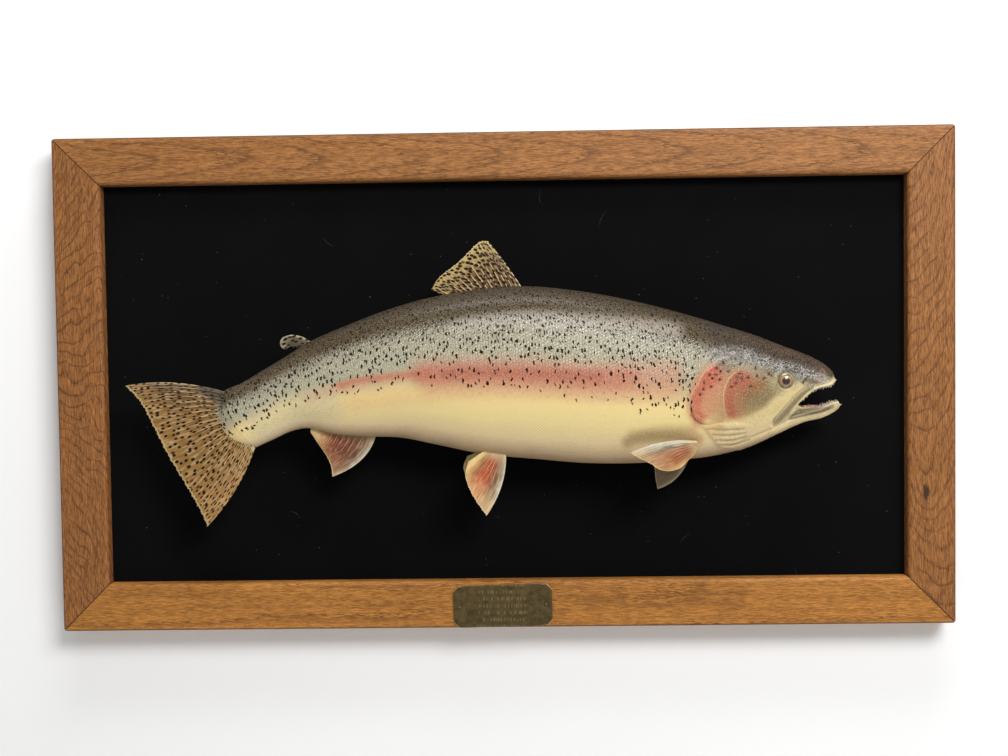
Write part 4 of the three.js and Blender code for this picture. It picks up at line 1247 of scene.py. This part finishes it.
def upper_jaw_bone(side, name):
    """A strip swept along its middle line. Rows run from the middle out to both edges, as flattened rings."""
    along = np.linspace(0, 1, 60)
    spine = through(MAXILLA, along)
    heading = np.gradient(spine, axis=0)
    heading /= np.linalg.norm(heading, axis=1, keepdims=True)
    beside = np.stack([-heading[:, 1], heading[:, 0]], axis=1)
    stations = [0, 0.08, 0.3, 0.55, 0.75, 0.88, 0.96, 1]
    half = np.interp(along, stations, [0.6, 1.5, 2.2, 3.3, 4.3, 4.2, 2.6, 0.5])
    loop = np.concatenate([spine + beside * half[:, None], (spine - beside * half[:, None])[::-1]])
    shares = np.concatenate([[0.02], np.linspace(0.15, 0.85, 8), [0.93, 1.0]])
    middle = np.concatenate([spine, spine[::-1]])
    x = middle[:, 0][None, :] + (loop - middle)[:, 0][None, :] * shares[:, None]
    z = middle[:, 1][None, :] + (loop - middle)[:, 1][None, :] * shares[:, None]
    front = np.repeat([0.0, 1.0] if loop[0, 0] < loop[-1, 0] else [1.0, 0.0], len(spine))
    ridge = 0.5 * front[None, :] * np.exp(-(((shares[:, None] - 0.75) / 0.25) ** 2))
    height = 0.65 + ridge - 0.5 * shares[:, None] ** 3
    flap(f"upper_jaw_bone_{name}", x, z, height, side, f"maxilla_{name}", 1.6, "jaw_skin")


HEAD_STROKES += [
    ([[296, -6], [288, -11], [278.5, -20.5], [269, -31.5], [261, -40.5]], 3.4, (134, 122, 92), 0.92),
    ([[292, -9.6], [282, -18.5], [272.6, -30], [264.5, -40]], 0.8, (96, 84, 62), 0.55),
    ([[287, -9], [277, -18], [266, -30], [258.6, -40.5]], 0.7, (180, 166, 126), 0.6),
    ([[291, -6.6], [281, -13], [270, -23.6], [258.4, -37.5]], 0.7, (96, 84, 60), 0.5),
]
for side, name in ((1, "near"), (-1, "far")):
    gill_cover(side, name)
    upper_jaw_bone(side, name)

# ------------------------------------------------------------------ scales
# Small round-ended scales in oblique rows over the trunk and tail, each tucked under the one ahead and free
# along its rear edge. They are smaller towards the tail, and the head has none.
SCALES_ROUND = 130
SCALE_PIECES = 3
# One scale: along it to the tail, across it and up, in shares of its length and width and in millimetres.
SCALE_TOP = np.array([
    [-0.5, -0.26, -0.12], [-0.5, 0.26, -0.12], [0.05, 0.5, 0.12], [0.4, 0.36, 0.28],
    [0.54, 0.0, 0.34], [0.4, -0.36, 0.28], [0.05, -0.5, 0.12],
])
SCALE_THICK = 0.22
PATCH = 0.003
# Where the coat of scales starts behind the head: its length from the snout, and at each z its foremost x.
COAT_START = 118.0
COAT_FRONT = [
    (-75, 214), (-66, 206), (-58, 196), (-44, 184), (-36, 176), (-18, 173), (-4, 178), (10, 189), (20, 206),
    (34, 219), (60, 226),
]


def scales():
    finish = fish_paint("scaled_skin", scaled=True)
    random = np.random.default_rng(11)
    under = SCALE_TOP[2:] - [0, 0, SCALE_THICK]
    shape = np.concatenate([SCALE_TOP, under])
    faces = [[6, 2, 1, 0], [5, 3, 2, 6], [4, 3, 5], [7, 11, 0, 1], [8, 10, 11, 7], [9, 10, 8], [2, 7, 1]]
    faces += [[3, 8, 7, 2], [4, 9, 8, 3], [5, 10, 9, 4], [6, 11, 10, 5], [0, 11, 6]]
    roots_t, roots_angle, long, wide = [], [], [], []
    length, row = COAT_START, 0
    while length < LENGTH - 1:
        t = float(t_at(length))
        table = around([t])[0]
        width = 2 * table[-1] / SCALES_ROUND
        pitch = max(2.1, 0.86 * width)
        for k in range(SCALES_ROUND):
            place = ((k + 0.5 * (row % 2)) / SCALES_ROUND * 2 - 1) * table[-1]
            place += random.normal(0, 0.09) * width
            angle = math.copysign(np.interp(abs(place), table, turn_samples), place)
            x, _, z = skin(t, angle)
            if x > np.interp(z, *zip(*COAT_FRONT)) - 0.5:
                continue
            roots_t.append(float(t_at(min(length + random.normal(0, 0.08) * pitch, LENGTH))))
            roots_angle.append(angle)
            long.append(1.8 * pitch)
            wide.append(1.14 * width)
        length += pitch
        row += 1
    t, angle = np.array(roots_t), np.array(roots_angle)
    long, wide = np.array(long), np.array(wide)
    root = skin(t, angle, -COAT_DEPTH)
    normal, tailward, sideways = outward(t, angle, -COAT_DEPTH)
    size = (wide / wide.max()) ** 0.5 * (0.55 + 0.45 * smooth_step(np.cos(angle), -0.3, 0.1))
    local = np.repeat(shape[None], len(t), axis=0)
    lift = random.normal(0, 0.04, len(t))
    offset = tailward[:, None] * (local[..., 0:1] * long[:, None, None])
    offset += sideways[:, None] * (local[..., 1:2] * wide[:, None, None])
    rise = local[..., 2:3] + lift[:, None, None] * (local[..., 0:1] > 0)
    offset += normal[:, None] * (rise * size[:, None, None] + 0.12)
    points = root[:, None] + offset
    # How strongly the painted highlight shows on each scale.
    tone = random.uniform(0, 1, len(t))
    per_turn = np.linalg.norm(skin(t, angle + 1e-3) - skin(t, angle - 1e-3), axis=-1) / 2e-3
    lengthwise = 0.01 + 0.98 * np.interp(t, fine, length_to) / LENGTH
    crosswise = 0.01 + 0.98 * (angle / (2 * math.pi) + 0.5)
    unwrapped = np.stack([lengthwise, crosswise], axis=1)
    for number, picked in enumerate(np.array_split(np.arange(len(t)), SCALE_PIECES)):
        count = len(picked)
        block = points[picked].reshape(-1, 3)
        rows = np.arange(count) * len(shape)
        all_faces = [[start + corner for corner in face] for start in rows.tolist() for face in faces]
        made = piece(f"scales_{number + 1}", block * MM, all_faces, finish, "body_skin", smooth=False)
        along = np.interp(t[picked], fine, length_to)[:, None] + shape[None, :, 0] * long[picked, None]
        turned = angle[picked, None] + shape[None, :, 1] * (wide / per_turn)[picked, None]
        paint(made, block, t_at(along).ravel(), np.clip(turned, -3.141, 3.141).ravel())
        carry(made, "tone", np.repeat(tone[picked], len(shape)))
        carry(made, "across", np.tile(shape, (count, 1)), "FLOAT_VECTOR")
        corners = np.empty(len(made.data.loops), np.int32)
        made.data.loops.foreach_get("vertex_index", corners)
        patch = np.tile(shape[:, 0:2] * PATCH * 0.9, (count, 1))
        patch += np.repeat(unwrapped[picked], len(shape), axis=0)
        layer = made.data.uv_layers.new(name="OFBake")
        layer.data.foreach_set("uv", patch[corners].astype(np.float32).ravel())


scales()

# ------------------------------------------------------------------ eyes
# Glass eyes, each a flattened ball with a painted iris behind a slight clear dome. They are set in the
# sockets, and a raised rim of skin holds each one.
def eye_glass():
    f = Finish("glass_eye")
    off, turn, _ = f.axes(f.carried("disc"))
    place = f.place()
    fibres = f.noise(f.vector(turn * 9, off * 1.2, 0.0), 1.0, 3.0)
    blotch = f.noise(place, 0.45, 2.0)
    iris = f.mix(fibres.clear_of(0.35, 0.7), tint(118, 94, 66), tint(160, 134, 98))
    iris = f.mix(blotch.clear_of(0.5, 0.7) * 0.4, iris, tint(112, 78, 54))
    iris = f.mix(off.clear_of(0.44, 0.5) * off.clear_of(0.6, 0.52), iris, tint(178, 150, 106))
    colour = f.mix(off.clear_of(0.48, 0.38), iris, tint(66, 44, 36))
    colour = f.mix(off.clear_of(0.8, 0.9), colour, tint(158, 140, 106))
    colour = f.mix(off.clear_of(0.93, 0.985), colour, tint(56, 44, 34))
    return f.surface(colour, 0.2, Coat_Weight=0.7, Coat_Roughness=0.07, Specular_IOR_Level=0.5)


def eye(name, side, finish):
    """A flattened ball with a slight dome over the pupil, in the solid's place."""
    low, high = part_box(name)
    centre, half = (low + high) / 2, (high - low) / 2
    rings, sides = 26, 48
    points, disc = [], []
    for ring in range(rings):
        turn = math.pi * (0.004 + 0.992 * ring / (rings - 1))
        r = math.sin(turn)
        dome = 1 + 0.06 * math.exp(-((r / 0.45) ** 2)) if turn < math.pi / 2 else 1
        y = -side * half.y * math.cos(turn) * dome
        for k in range(sides):
            a = 2 * math.pi * k / sides
            points.append(centre + Vector((half.x * r * math.cos(a), y, half.z * r * math.sin(a))))
            disc.append((r if turn < math.pi / 2 else 1.0, a / (2 * math.pi), 0))
    made = piece(f"glass_{name}", points, closed_faces(rings, sides), finish, "eye")
    carry(made, "disc", disc, "FLOAT_VECTOR")
    weld(made)
    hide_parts(name)


glass = eye_glass()
eye("eye_near", 1, glass)
eye("eye_far", -1, glass)

# ------------------------------------------------------------------ tongue and teeth
# A fleshy tongue with a groove along its top, on the floor of the mouth, and a row of small teeth along
# each lip that curve back into it.
TEETH_PER_SIDE = 13


def mouth_flesh():
    f = Finish("mouth_flesh")
    place = f.place()
    bumps = f.noise(place, 1.1, 2.0)
    colour = f.mix(f.noise(place, 0.3), tint(150, 112, 98), tint(190, 158, 140))
    return f.surface(colour, 0.34, bumps, 0.25, Coat_Weight=0.4, Coat_Roughness=0.2)


def tooth_enamel():
    f = Finish("teeth")
    stained = f.noise(f.place(), 0.8)
    return f.surface(f.mix(stained, tint(214, 200, 168), tint(236, 228, 206)), 0.25, stained, 0.05)


def tongue(finish):
    low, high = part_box("tongue")
    centre, half = (low + high) / 2, (high - low) / 2
    rings, sides = 28, 30
    points = []
    for ring in range(rings):
        turn = math.pi * (0.004 + 0.992 * ring / (rings - 1))
        r = math.sin(turn)
        for k in range(sides):
            a = 2 * math.pi * k / sides
            groove = 0.3 * math.exp(-((math.cos(a) / 0.3) ** 2)) if math.sin(a) > 0 else 0
            z = half.z * r * math.sin(a) * (1 - groove)
            points.append(centre + Vector((-half.x * math.cos(turn), half.y * r * math.cos(a), z)))
    made = piece("tongue_flesh", points, closed_faces(rings, sides), finish, "mouth")
    weld(made)
    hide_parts("tongue")


def teeth(name, lip, down, finish):
    steps, sides = 6, 8
    parts = []
    for side in (1, -1):
        places = through(lip, np.linspace(0.1, 0.86, TEETH_PER_SIDE))
        t, angle = on_flank(places[:, 0], places[:, 1], side)
        gums = skin(t, angle)
        for i, gum in enumerate(gums):
            gum = gum + [0, side * 2.2, down * -0.6]
            tall = 2.4 + 0.8 * math.sin(i * 1.9)
            path = [gum + [-0.5 * s**2, side * 0.5 * s**2, down * tall * s] for s in np.linspace(0, 1, steps)]
            points, faces = tube(np.array(path) * MM, 0.8 * MM, sides)
            shrink = np.repeat(np.linspace(1, 0.1, steps), sides)[:, None]
            middle = np.repeat(np.array(path) * MM, sides, axis=0)
            parts.append((middle + (points - middle) * shrink, faces))
    made = piece(name, *together(parts), finish, "mouth")
    weld(made, 0.001 * MM)


flesh, enamel = mouth_flesh(), tooth_enamel()
tongue(flesh)
teeth("upper_teeth", UPPER_LIP, -1, enamel)
teeth("lower_teeth", LOWER_LIP, 1, enamel)

# ------------------------------------------------------------------ fins
# Each fin is a fan of jointed rays with skin stretched between them, dried, backed and painted: stiff at the
# leading edge, thin and a little ragged along the rear one.
TAIL_Y = MID_Y - TAIL_SWING
FINS = {
    "dorsal_fin": {
        "root": [[22, MID_Y, 87], [-16, MID_Y, 86], [-53.5, MID_Y, 83]],
        "tips": [
            [-13.5, -52, 137.4], [-23, -52, 135.8], [-41.5, -52, 118], [-60.5, -53, 103],
            [-68.5, -53, 91],
        ],
        "bows": [[2, 0, 1], [0, 0, 0]], "thick": 2.6, "rays": 17, "curl": 0,
    },
    "adipose_fin": {
        "root": [[-185, -56, 40.4], [-190.5, -56, 37.8], [-195.5, -56, 34]],
        "tips": [
            [-206, -57.5, 48.6], [-213, -57.5, 46.3], [-216, -57.5, 41.5], [-215, -57.5, 37],
            [-211.5, -57.5, 34.6],
        ],
        "bows": [[1, 0, 4.5], [1, 0, 6]], "thick": 3.4, "rays": 0, "curl": 0,
    },
    "anal_fin": {
        "root": [[-123.6, -54, -46], [-157, -55, -45], [-187, -57, -39]],
        "tips": [
            [-168.2, -57, -90.4], [-169.3, -57, -80], [-173, -58, -70], [-180, -59, -58.5],
            [-188, -59, -46],
        ],
        "bows": [[16, 0, -9], [0, 0, 0]], "thick": 2.6, "rays": 12, "curl": 0,
    },
    "caudal_fin": {
        "root": [[-264, TAIL_Y, -7], [-262, TAIL_Y, -24], [-253, TAIL_Y, -41], [-240, TAIL_Y, -56]],
        "tips": [
            [-366, -67, 1.6], [-351.3, -68, -15], [-339.2, -68, -39], [-325.5, -68, -67],
            [-308, -68, -98], [-296, -68, -120], [-289.2, -67, -136.6],
        ],
        "bows": [[-4, 0, 13], [9.5, 0, -6]], "thick": 5.4, "rays": 21, "curl": 0,
    },
    "pelvic_fin_near": {
        "root": [[2, -66, -67], [-8, -66, -66], [-17, -66, -64]],
        "tips": [
            [-17.5, -80, -127], [-26, -79, -115], [-33.2, -78, -102], [-37.4, -75, -88],
            [-34.5, -71, -75],
        ],
        "bows": [[11, 0, -2], [-2, -1, -2]], "thick": 2.6, "rays": 10, "curl": -1.5,
    },
    "pelvic_fin_far": {
        "root": [[2, -42, -67], [-8, -42, -66], [-17, -42, -64]],
        "tips": [[-22, -33, -120], [-31, -33.5, -108], [-38, -34, -96], [-41, -36, -84], [-37, -38, -73]],
        "bows": [[11, 0, -2], [-2, 1, -2]], "thick": 2.6, "rays": 10, "curl": 1.5,
    },
    "pectoral_fin_near": {
        "root": [[183, -83.5, -57], [185, -80, -63], [180, -73.5, -72]],
        "tips": [
            [116.3, -99, -65.1], [126, -99, -70.6], [136.6, -98, -76], [144, -97, -81.1],
            [154.5, -94, -83.4], [165.6, -89, -80.6], [173, -83, -74.5],
        ],
        "bows": [[0, -4, 9], [0, -2, 0]], "thick": 2.8, "rays": 13, "curl": 2,
    },
    "pectoral_fin_far": {
        "root": [[185, -37, -65], [181, -37, -63.5], [177, -38, -61.5]],
        "tips": [
            [151, -25, -109.5], [149.5, -24, -101], [148.6, -24, -92], [148.5, -25, -83],
            [151, -27, -75],
        ],
        "bows": [[11, 0, -14], [-2, 1, -2]], "thick": 2.6, "rays": 12, "curl": 1.2,
    },
}
# The web's colours from the leading edge to the rear one, then those of its base, tips, rays and rear line.
FIN_PAINT = {
    "dorsal_fin": (
        [
            (0.0, (132, 104, 62)), (0.12, (96, 68, 34)), (0.5, (112, 80, 38)), (0.85, (128, 100, 56)),
            (1.0, (170, 144, 92)),
        ],
        (66, 50, 30), (188, 162, 104), (226, 202, 152), (206, 184, 128), 0.85,
    ),
    "adipose_fin": (
        [(0.0, (176, 166, 138)), (0.16, (96, 86, 66)), (0.8, (88, 78, 60)), (1.0, (190, 180, 150))],
        (92, 84, 66), (176, 168, 140), (120, 110, 86), (206, 198, 168), 0.0,
    ),
    "anal_fin": (
        [
            (0.0, (222, 214, 192)), (0.06, (156, 136, 112)), (0.14, (118, 84, 66)), (0.3, (116, 60, 42)),
            (0.56, (130, 64, 42)), (0.72, (190, 140, 92)), (0.84, (222, 190, 130)), (1.0, (246, 226, 166)),
        ],
        (200, 176, 124), (176, 124, 86), (214, 182, 146), (240, 216, 158), 0.55,
    ),
    "caudal_fin": (
        [
            (0.0, (96, 78, 58)), (0.08, (112, 84, 54)), (0.3, (132, 98, 54)), (0.7, (138, 102, 54)),
            (1.0, (174, 132, 82)),
        ],
        (176, 136, 76), (160, 120, 66), (222, 196, 150), (224, 198, 142), 0.6,
    ),
    "pelvic_fin_near": (
        [
            (0.0, (210, 204, 184)), (0.08, (146, 130, 104)), (0.2, (126, 88, 62)), (0.34, (168, 76, 42)),
            (0.5, (178, 78, 42)), (0.62, (150, 92, 52)), (0.74, (188, 142, 82)), (0.84, (236, 204, 134)),
            (1.0, (246, 224, 154)),
        ],
        (222, 200, 154), (222, 184, 128), (232, 196, 156), (244, 220, 160), 0.45,
    ),
    # The far fins' colours are darker, greyer copies of the near fins': painted shade for fins lying behind
    # the body against the velvet.
    "pelvic_fin_far": (
        [
            (0.0, (176, 170, 154)), (0.1, (136, 118, 98)), (0.35, (160, 84, 54)), (0.6, (150, 102, 68)),
            (0.8, (196, 166, 118)), (1.0, (222, 200, 146)),
        ],
        (196, 176, 134), (200, 168, 118), (206, 172, 136), (220, 196, 142), 0.4,
    ),
    "pectoral_fin_near": (
        [
            (0.0, (214, 210, 190)), (0.1, (186, 180, 158)), (0.17, (130, 112, 92)), (0.24, (164, 120, 92)),
            (0.4, (156, 92, 58)), (0.6, (158, 98, 60)), (0.78, (192, 148, 92)), (0.9, (228, 196, 130)),
            (1.0, (242, 218, 156)),
        ],
        (222, 200, 150), (182, 146, 104), (212, 172, 124), (234, 206, 146), 0.36,
    ),
    # Like the far pelvic fin, the far pectoral fin is painted darker and greyer than the near one, as painted
    # shade.
    "pectoral_fin_far": (
        [
            (0.0, (196, 184, 154)), (0.08, (140, 122, 96)), (0.5, (118, 94, 68)), (0.9, (132, 114, 88)),
            (1.0, (200, 184, 142)),
        ],
        (170, 154, 120), (150, 132, 102), (170, 150, 120), (206, 192, 152), 0.45,
    ),
}
# How far apart spots stand on a fin, across its rays and along them in millimetres, and their size.
FIN_SPOTS = {"dorsal_fin": (3.6, 4.7, 0.33), "caudal_fin": (3.9, 7.4, 0.22), "adipose_fin": (5.0, 5.0, 0.3)}


def fin_finish(name, web, base, tips, ray, rear, ray_strength):
    f = Finish(f"{name}_paint")
    along, out, ridge = f.axes(f.carried("fan"))
    soft = f.noise(f.place(), 0.1, 3.0)
    streaks = f.noise(f.vector(along * 70, out * 5, 0.0), 1.0, 2.0)
    colour = f.ramp(along + (soft - 0.5) * 0.16, [(place, tint(*colour)) for place, colour in web])
    pale_from, pale_to, paleness = (0.45, 1.0, 0.85) if name == "dorsal_fin" else (0.6, 0.95, 0.55)
    colour = f.mix((out + (soft - 0.5) * 0.3).clear_of(pale_from, pale_to) * paleness, colour, tint(*tips))
    colour = f.mix((out + (soft - 0.5) * 0.1).clear_of(0.3, 0.02) * 0.85, colour, tint(*base))
    colour = f.mix(streaks.clear_of(0.5, 0.64) * 0.5, colour, f.mix(0.65, colour, tint(*ray)))
    colour = f.mix(streaks.clear_of(0.48, 0.36) * 0.5, colour, f.mix(0.55, colour, tint(40, 26, 18)))
    raised = ridge.clear_of(0.6, 0.95) * (1 - out.clear_of(0.55, 0.85) * 0.75)
    colour = f.mix(raised * ray_strength, colour, tint(*ray))
    if name == "caudal_fin":
        # The scaled skin of the tail's root runs out over the rays.
        hem = out + (soft - 0.5) * 0.06 + (along - 0.36).maths("ABSOLUTE") * 0.2
        hem = hem - along.clear_of(0.24, 0.04) * 0.16
        colour = f.mix(hem.clear_of(0.25, 0.17) * 0.9, colour, f.ramp(along, [
            (0.0, tint(74, 66, 56)), (0.18, tint(104, 96, 80)), (0.4, tint(168, 162, 132)),
            (1.0, tint(216, 200, 154)),
        ]))
    if name in FIN_SPOTS:
        across, long, size = FIN_SPOTS[name]
        beside = along * f.carried("span", "Fac") * (1 / across)
        grid = f.vector(beside, out * f.carried("reach", "Fac") * (1 / long))
        off = f.cells(grid, "Distance", 0.72)
        chance, weight, _ = f.axes(f.cells(grid, "Color", 0.72))
        spot = (size + weight * 0.07 - off).clear_of(-0.03, 0.04) * chance.clear_of(0.99, 0.95)
        colour = f.mix(spot * (1 - out.clear_of(0.97, 0.99)), colour, tint(32, 17, 4))
    fringe = (out + (soft - 0.5) * 0.02).clear_of(0.97, 0.99)
    colour = f.mix(fringe * 0.8, colour, tint(*rear))
    gloss = 0.46 + soft * 0.15
    varnish = {"Specular_IOR_Level": 0.14, "Coat_Weight": 0.12, "Coat_Roughness": 0.24}
    return f.surface(colour, gloss, streaks, 0.15, **varnish)


def fin(name, fan):
    root, tips = np.array(fan["root"], float), np.array(fan["tips"], float)
    rays = fan["rays"]
    columns, rows = max(12 * rays, 60) + 1, 46
    along = np.linspace(0, 1, columns)
    out = np.linspace(0, 1, rows)
    start, end = through(root, along), through(tips, along)
    bows = np.array(fan["bows"], float)
    bend = (start + end) / 2 + bows[0] * (1 - along[:, None]) ** 2.5 + bows[1] * along[:, None] ** 2.5
    o = out[None, :, None]
    sheet = (1 - o) ** 2 * start[:, None] + 2 * o * (1 - o) * bend[:, None] + o**2 * end[:, None]
    across = np.cross(start[-1] - start[0], through(tips, np.array([0.5]))[0] - start[0])
    across /= np.linalg.norm(across)
    if across[1] > 0:
        across = -across
    # Rays split in two half way out, and stand as ridges over the web.
    if rays:
        phase = along * (rays - 1)
        single = np.abs(np.cos(phase * math.pi)) ** 10
        double = np.abs(np.cos(2 * phase * math.pi)) ** 4 * 0.8
        split = smooth_step(out, 0.35, 0.7)[None, :]
        ridge = single[:, None] * (1 - split) + double[:, None] * split
        ridge = np.maximum(ridge, (1 - smooth_step(along, 0.0, 0.035))[:, None])
        joints = 1 - 0.12 * (np.sin(out * 120) > 0.6)[None, :]
        frayed = 1 - 0.012 * (1 - ridge[:, -1]) - 0.01 * np.abs(np.sin(phase * 2.3 + 1))
        pulled = (out[None, :] ** 5)[..., None] * (1 - frayed)[:, None, None]
        sheet = sheet - (sheet - start[:, None]) * pulled
        thick = (fan["thick"] * (1 - out) ** 1.3 + 0.55)[None, :] * (0.5 + 0.5 * ridge * joints)
        edges = np.minimum(np.minimum(along, 1 - along)[:, None] * 30, 1)
        edges = edges * np.minimum((1 - out)[None, :] * 25 + 0.25, 1)
    else:
        ridge = np.full((columns, rows), 0.3)
        fullness = np.sqrt(np.clip(np.sin(along * math.pi), 0.02, 1))[:, None]
        thick = (fan["thick"] * (1 - out * 0.45))[None, :] * fullness
        edges = np.minimum((1 - out)[None, :] * 8 + 0.2, 1) ** 0.5
    thick = thick * np.maximum(edges, 0.18)
    ripple = 0.25 * np.sin(along * 17)[:, None] * out[None, :] ** 2
    middle = sheet + across * (fan["curl"] * out**2)[None, :, None] + across * ripple[..., None]
    front = middle + across * (thick / 2)[..., None]
    back = middle - across * (thick / 2)[..., None]
    # The sheet's two faces join round the outline.
    ring = np.concatenate([front, back[:, ::-1]], axis=1)
    points = ring.reshape(-1, 3)
    finish = fin_finish(name, *FIN_PAINT[name])
    made = piece(f"{name}_web", points * MM, closed_faces(columns, 2 * rows), finish, "fin_skin")

    def both(grid):
        """A value of each place of the sheet, for its front and then its back."""
        grid = np.broadcast_to(grid, (columns, rows))
        return np.concatenate([grid, grid[:, ::-1]], axis=1).ravel()

    wide = np.linalg.norm(np.diff(sheet, axis=0), axis=-1).sum(0)
    reach = np.linalg.norm(np.diff(sheet, axis=1), axis=-1).sum(1)
    carry(made, "fan", np.stack([both(along[:, None]), both(out), both(ridge)], axis=1), "FLOAT_VECTOR")
    carry(made, "span", np.full(len(points), wide[rows * 4 // 5]))
    carry(made, "reach", both(reach[:, None]))
    weld(made, 0.001 * MM)
    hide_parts(name)


for name, fan in FINS.items():
    fin(name, fan)

# ------------------------------------------------------------------ room, light and camera
# A white wall right behind the board, a pale floor below, a broad soft light from above and the right, and
# a camera square to the board.
def stage_plane(name, width, height, turn, place, finish):
    mesh = bpy.data.meshes.new(name)
    x, y = width / 2, height / 2
    mesh.from_pydata([(-x, -y, 0), (x, -y, 0), (x, y, 0), (-x, y, 0)], [], [(0, 1, 2, 3)])
    made = bpy.data.objects.new(name, mesh)
    made.rotation_euler = turn
    made.location = place
    mesh.materials.append(finish)
    bpy.context.scene.collection.objects.link(made)


def wall_paint():
    """White paint that shows from the room's side only, so that the board's back can be looked at."""
    f = Finish("wall_paint")
    roller = f.noise(f.place(), 0.4, 2.0)
    white = f.mix(roller, tint(250, 250, 250), tint(254, 254, 254))
    lit = {"Base Color": white, "Roughness": 0.9, "Emission Color": white, "Emission Strength": 0.07}
    painted = f.node("ShaderNodeBsdfPrincipled", sockets=lit)
    clear = f.node("ShaderNodeBsdfTransparent")
    behind = f.node("ShaderNodeNewGeometry", output="Backfacing")
    one_sided = f.node("ShaderNodeMixShader", sockets=[behind, painted, clear])
    f.node("ShaderNodeOutputMaterial", sockets={"Surface": one_sided})
    return f.material


def floor_paint():
    f = Finish("floor_paint")
    cloud = f.noise(f.place(), 0.01, 3.0)
    return f.surface(f.mix(cloud, tint(226, 224, 220), tint(236, 235, 232)), 0.6)


stage_plane("wall", 8, 5, (math.radians(90), 0, 0), (0, 0.0006, 0.9), wall_paint())
stage_plane("floor", 8, 8, (0, 0, 0), (0, -3.999, -1.6), floor_paint())


def soft_light(name, place, target, size, power):
    data = bpy.data.lights.new(name, "AREA")
    data.shape = "RECTANGLE"
    data.size, data.size_y = size
    data.energy = power
    made = bpy.data.objects.new(name, data)
    made.location = place
    made.rotation_euler = (Vector(target) - Vector(place)).to_track_quat("-Z", "Y").to_euler()
    bpy.context.scene.collection.objects.link(made)


soft_light("front_light", (0.85, -1.7, 1.2), (0, 0, 0), (1.1, 0.7), 40)
soft_light("top_light", (0.2, -0.75, 2.2), (0, -0.09, 0), (1.6, 0.4), 30)
world = bpy.data.worlds.new("studio")
world.use_nodes = True
world.node_tree.nodes["Background"].inputs["Color"].default_value = (1, 1, 1, 1)
world.node_tree.nodes["Background"].inputs["Strength"].default_value = 0.27
bpy.context.scene.world = world
bpy.context.scene.view_settings.view_transform = "Standard"

camera_data = bpy.data.cameras.new("camera")
camera_data.lens = 46
camera_data.sensor_width = 36
camera = bpy.data.objects.new("camera", camera_data)
right = Vector((0.99973, 0.01865, -0.01364))
up = Vector((0.01292, 0.03817, 0.99919))
forward = Vector((-0.01916, 0.9991, -0.03792))
camera.matrix_world = Matrix((
    (right.x, up.x, -forward.x, 0.0248),
    (right.y, up.y, -forward.y, -1.3039),
    (right.z, up.z, -forward.z, 0.0514),
    (0, 0, 0, 1),
))
bpy.context.scene.collection.objects.link(camera)
bpy.context.scene.camera = camera
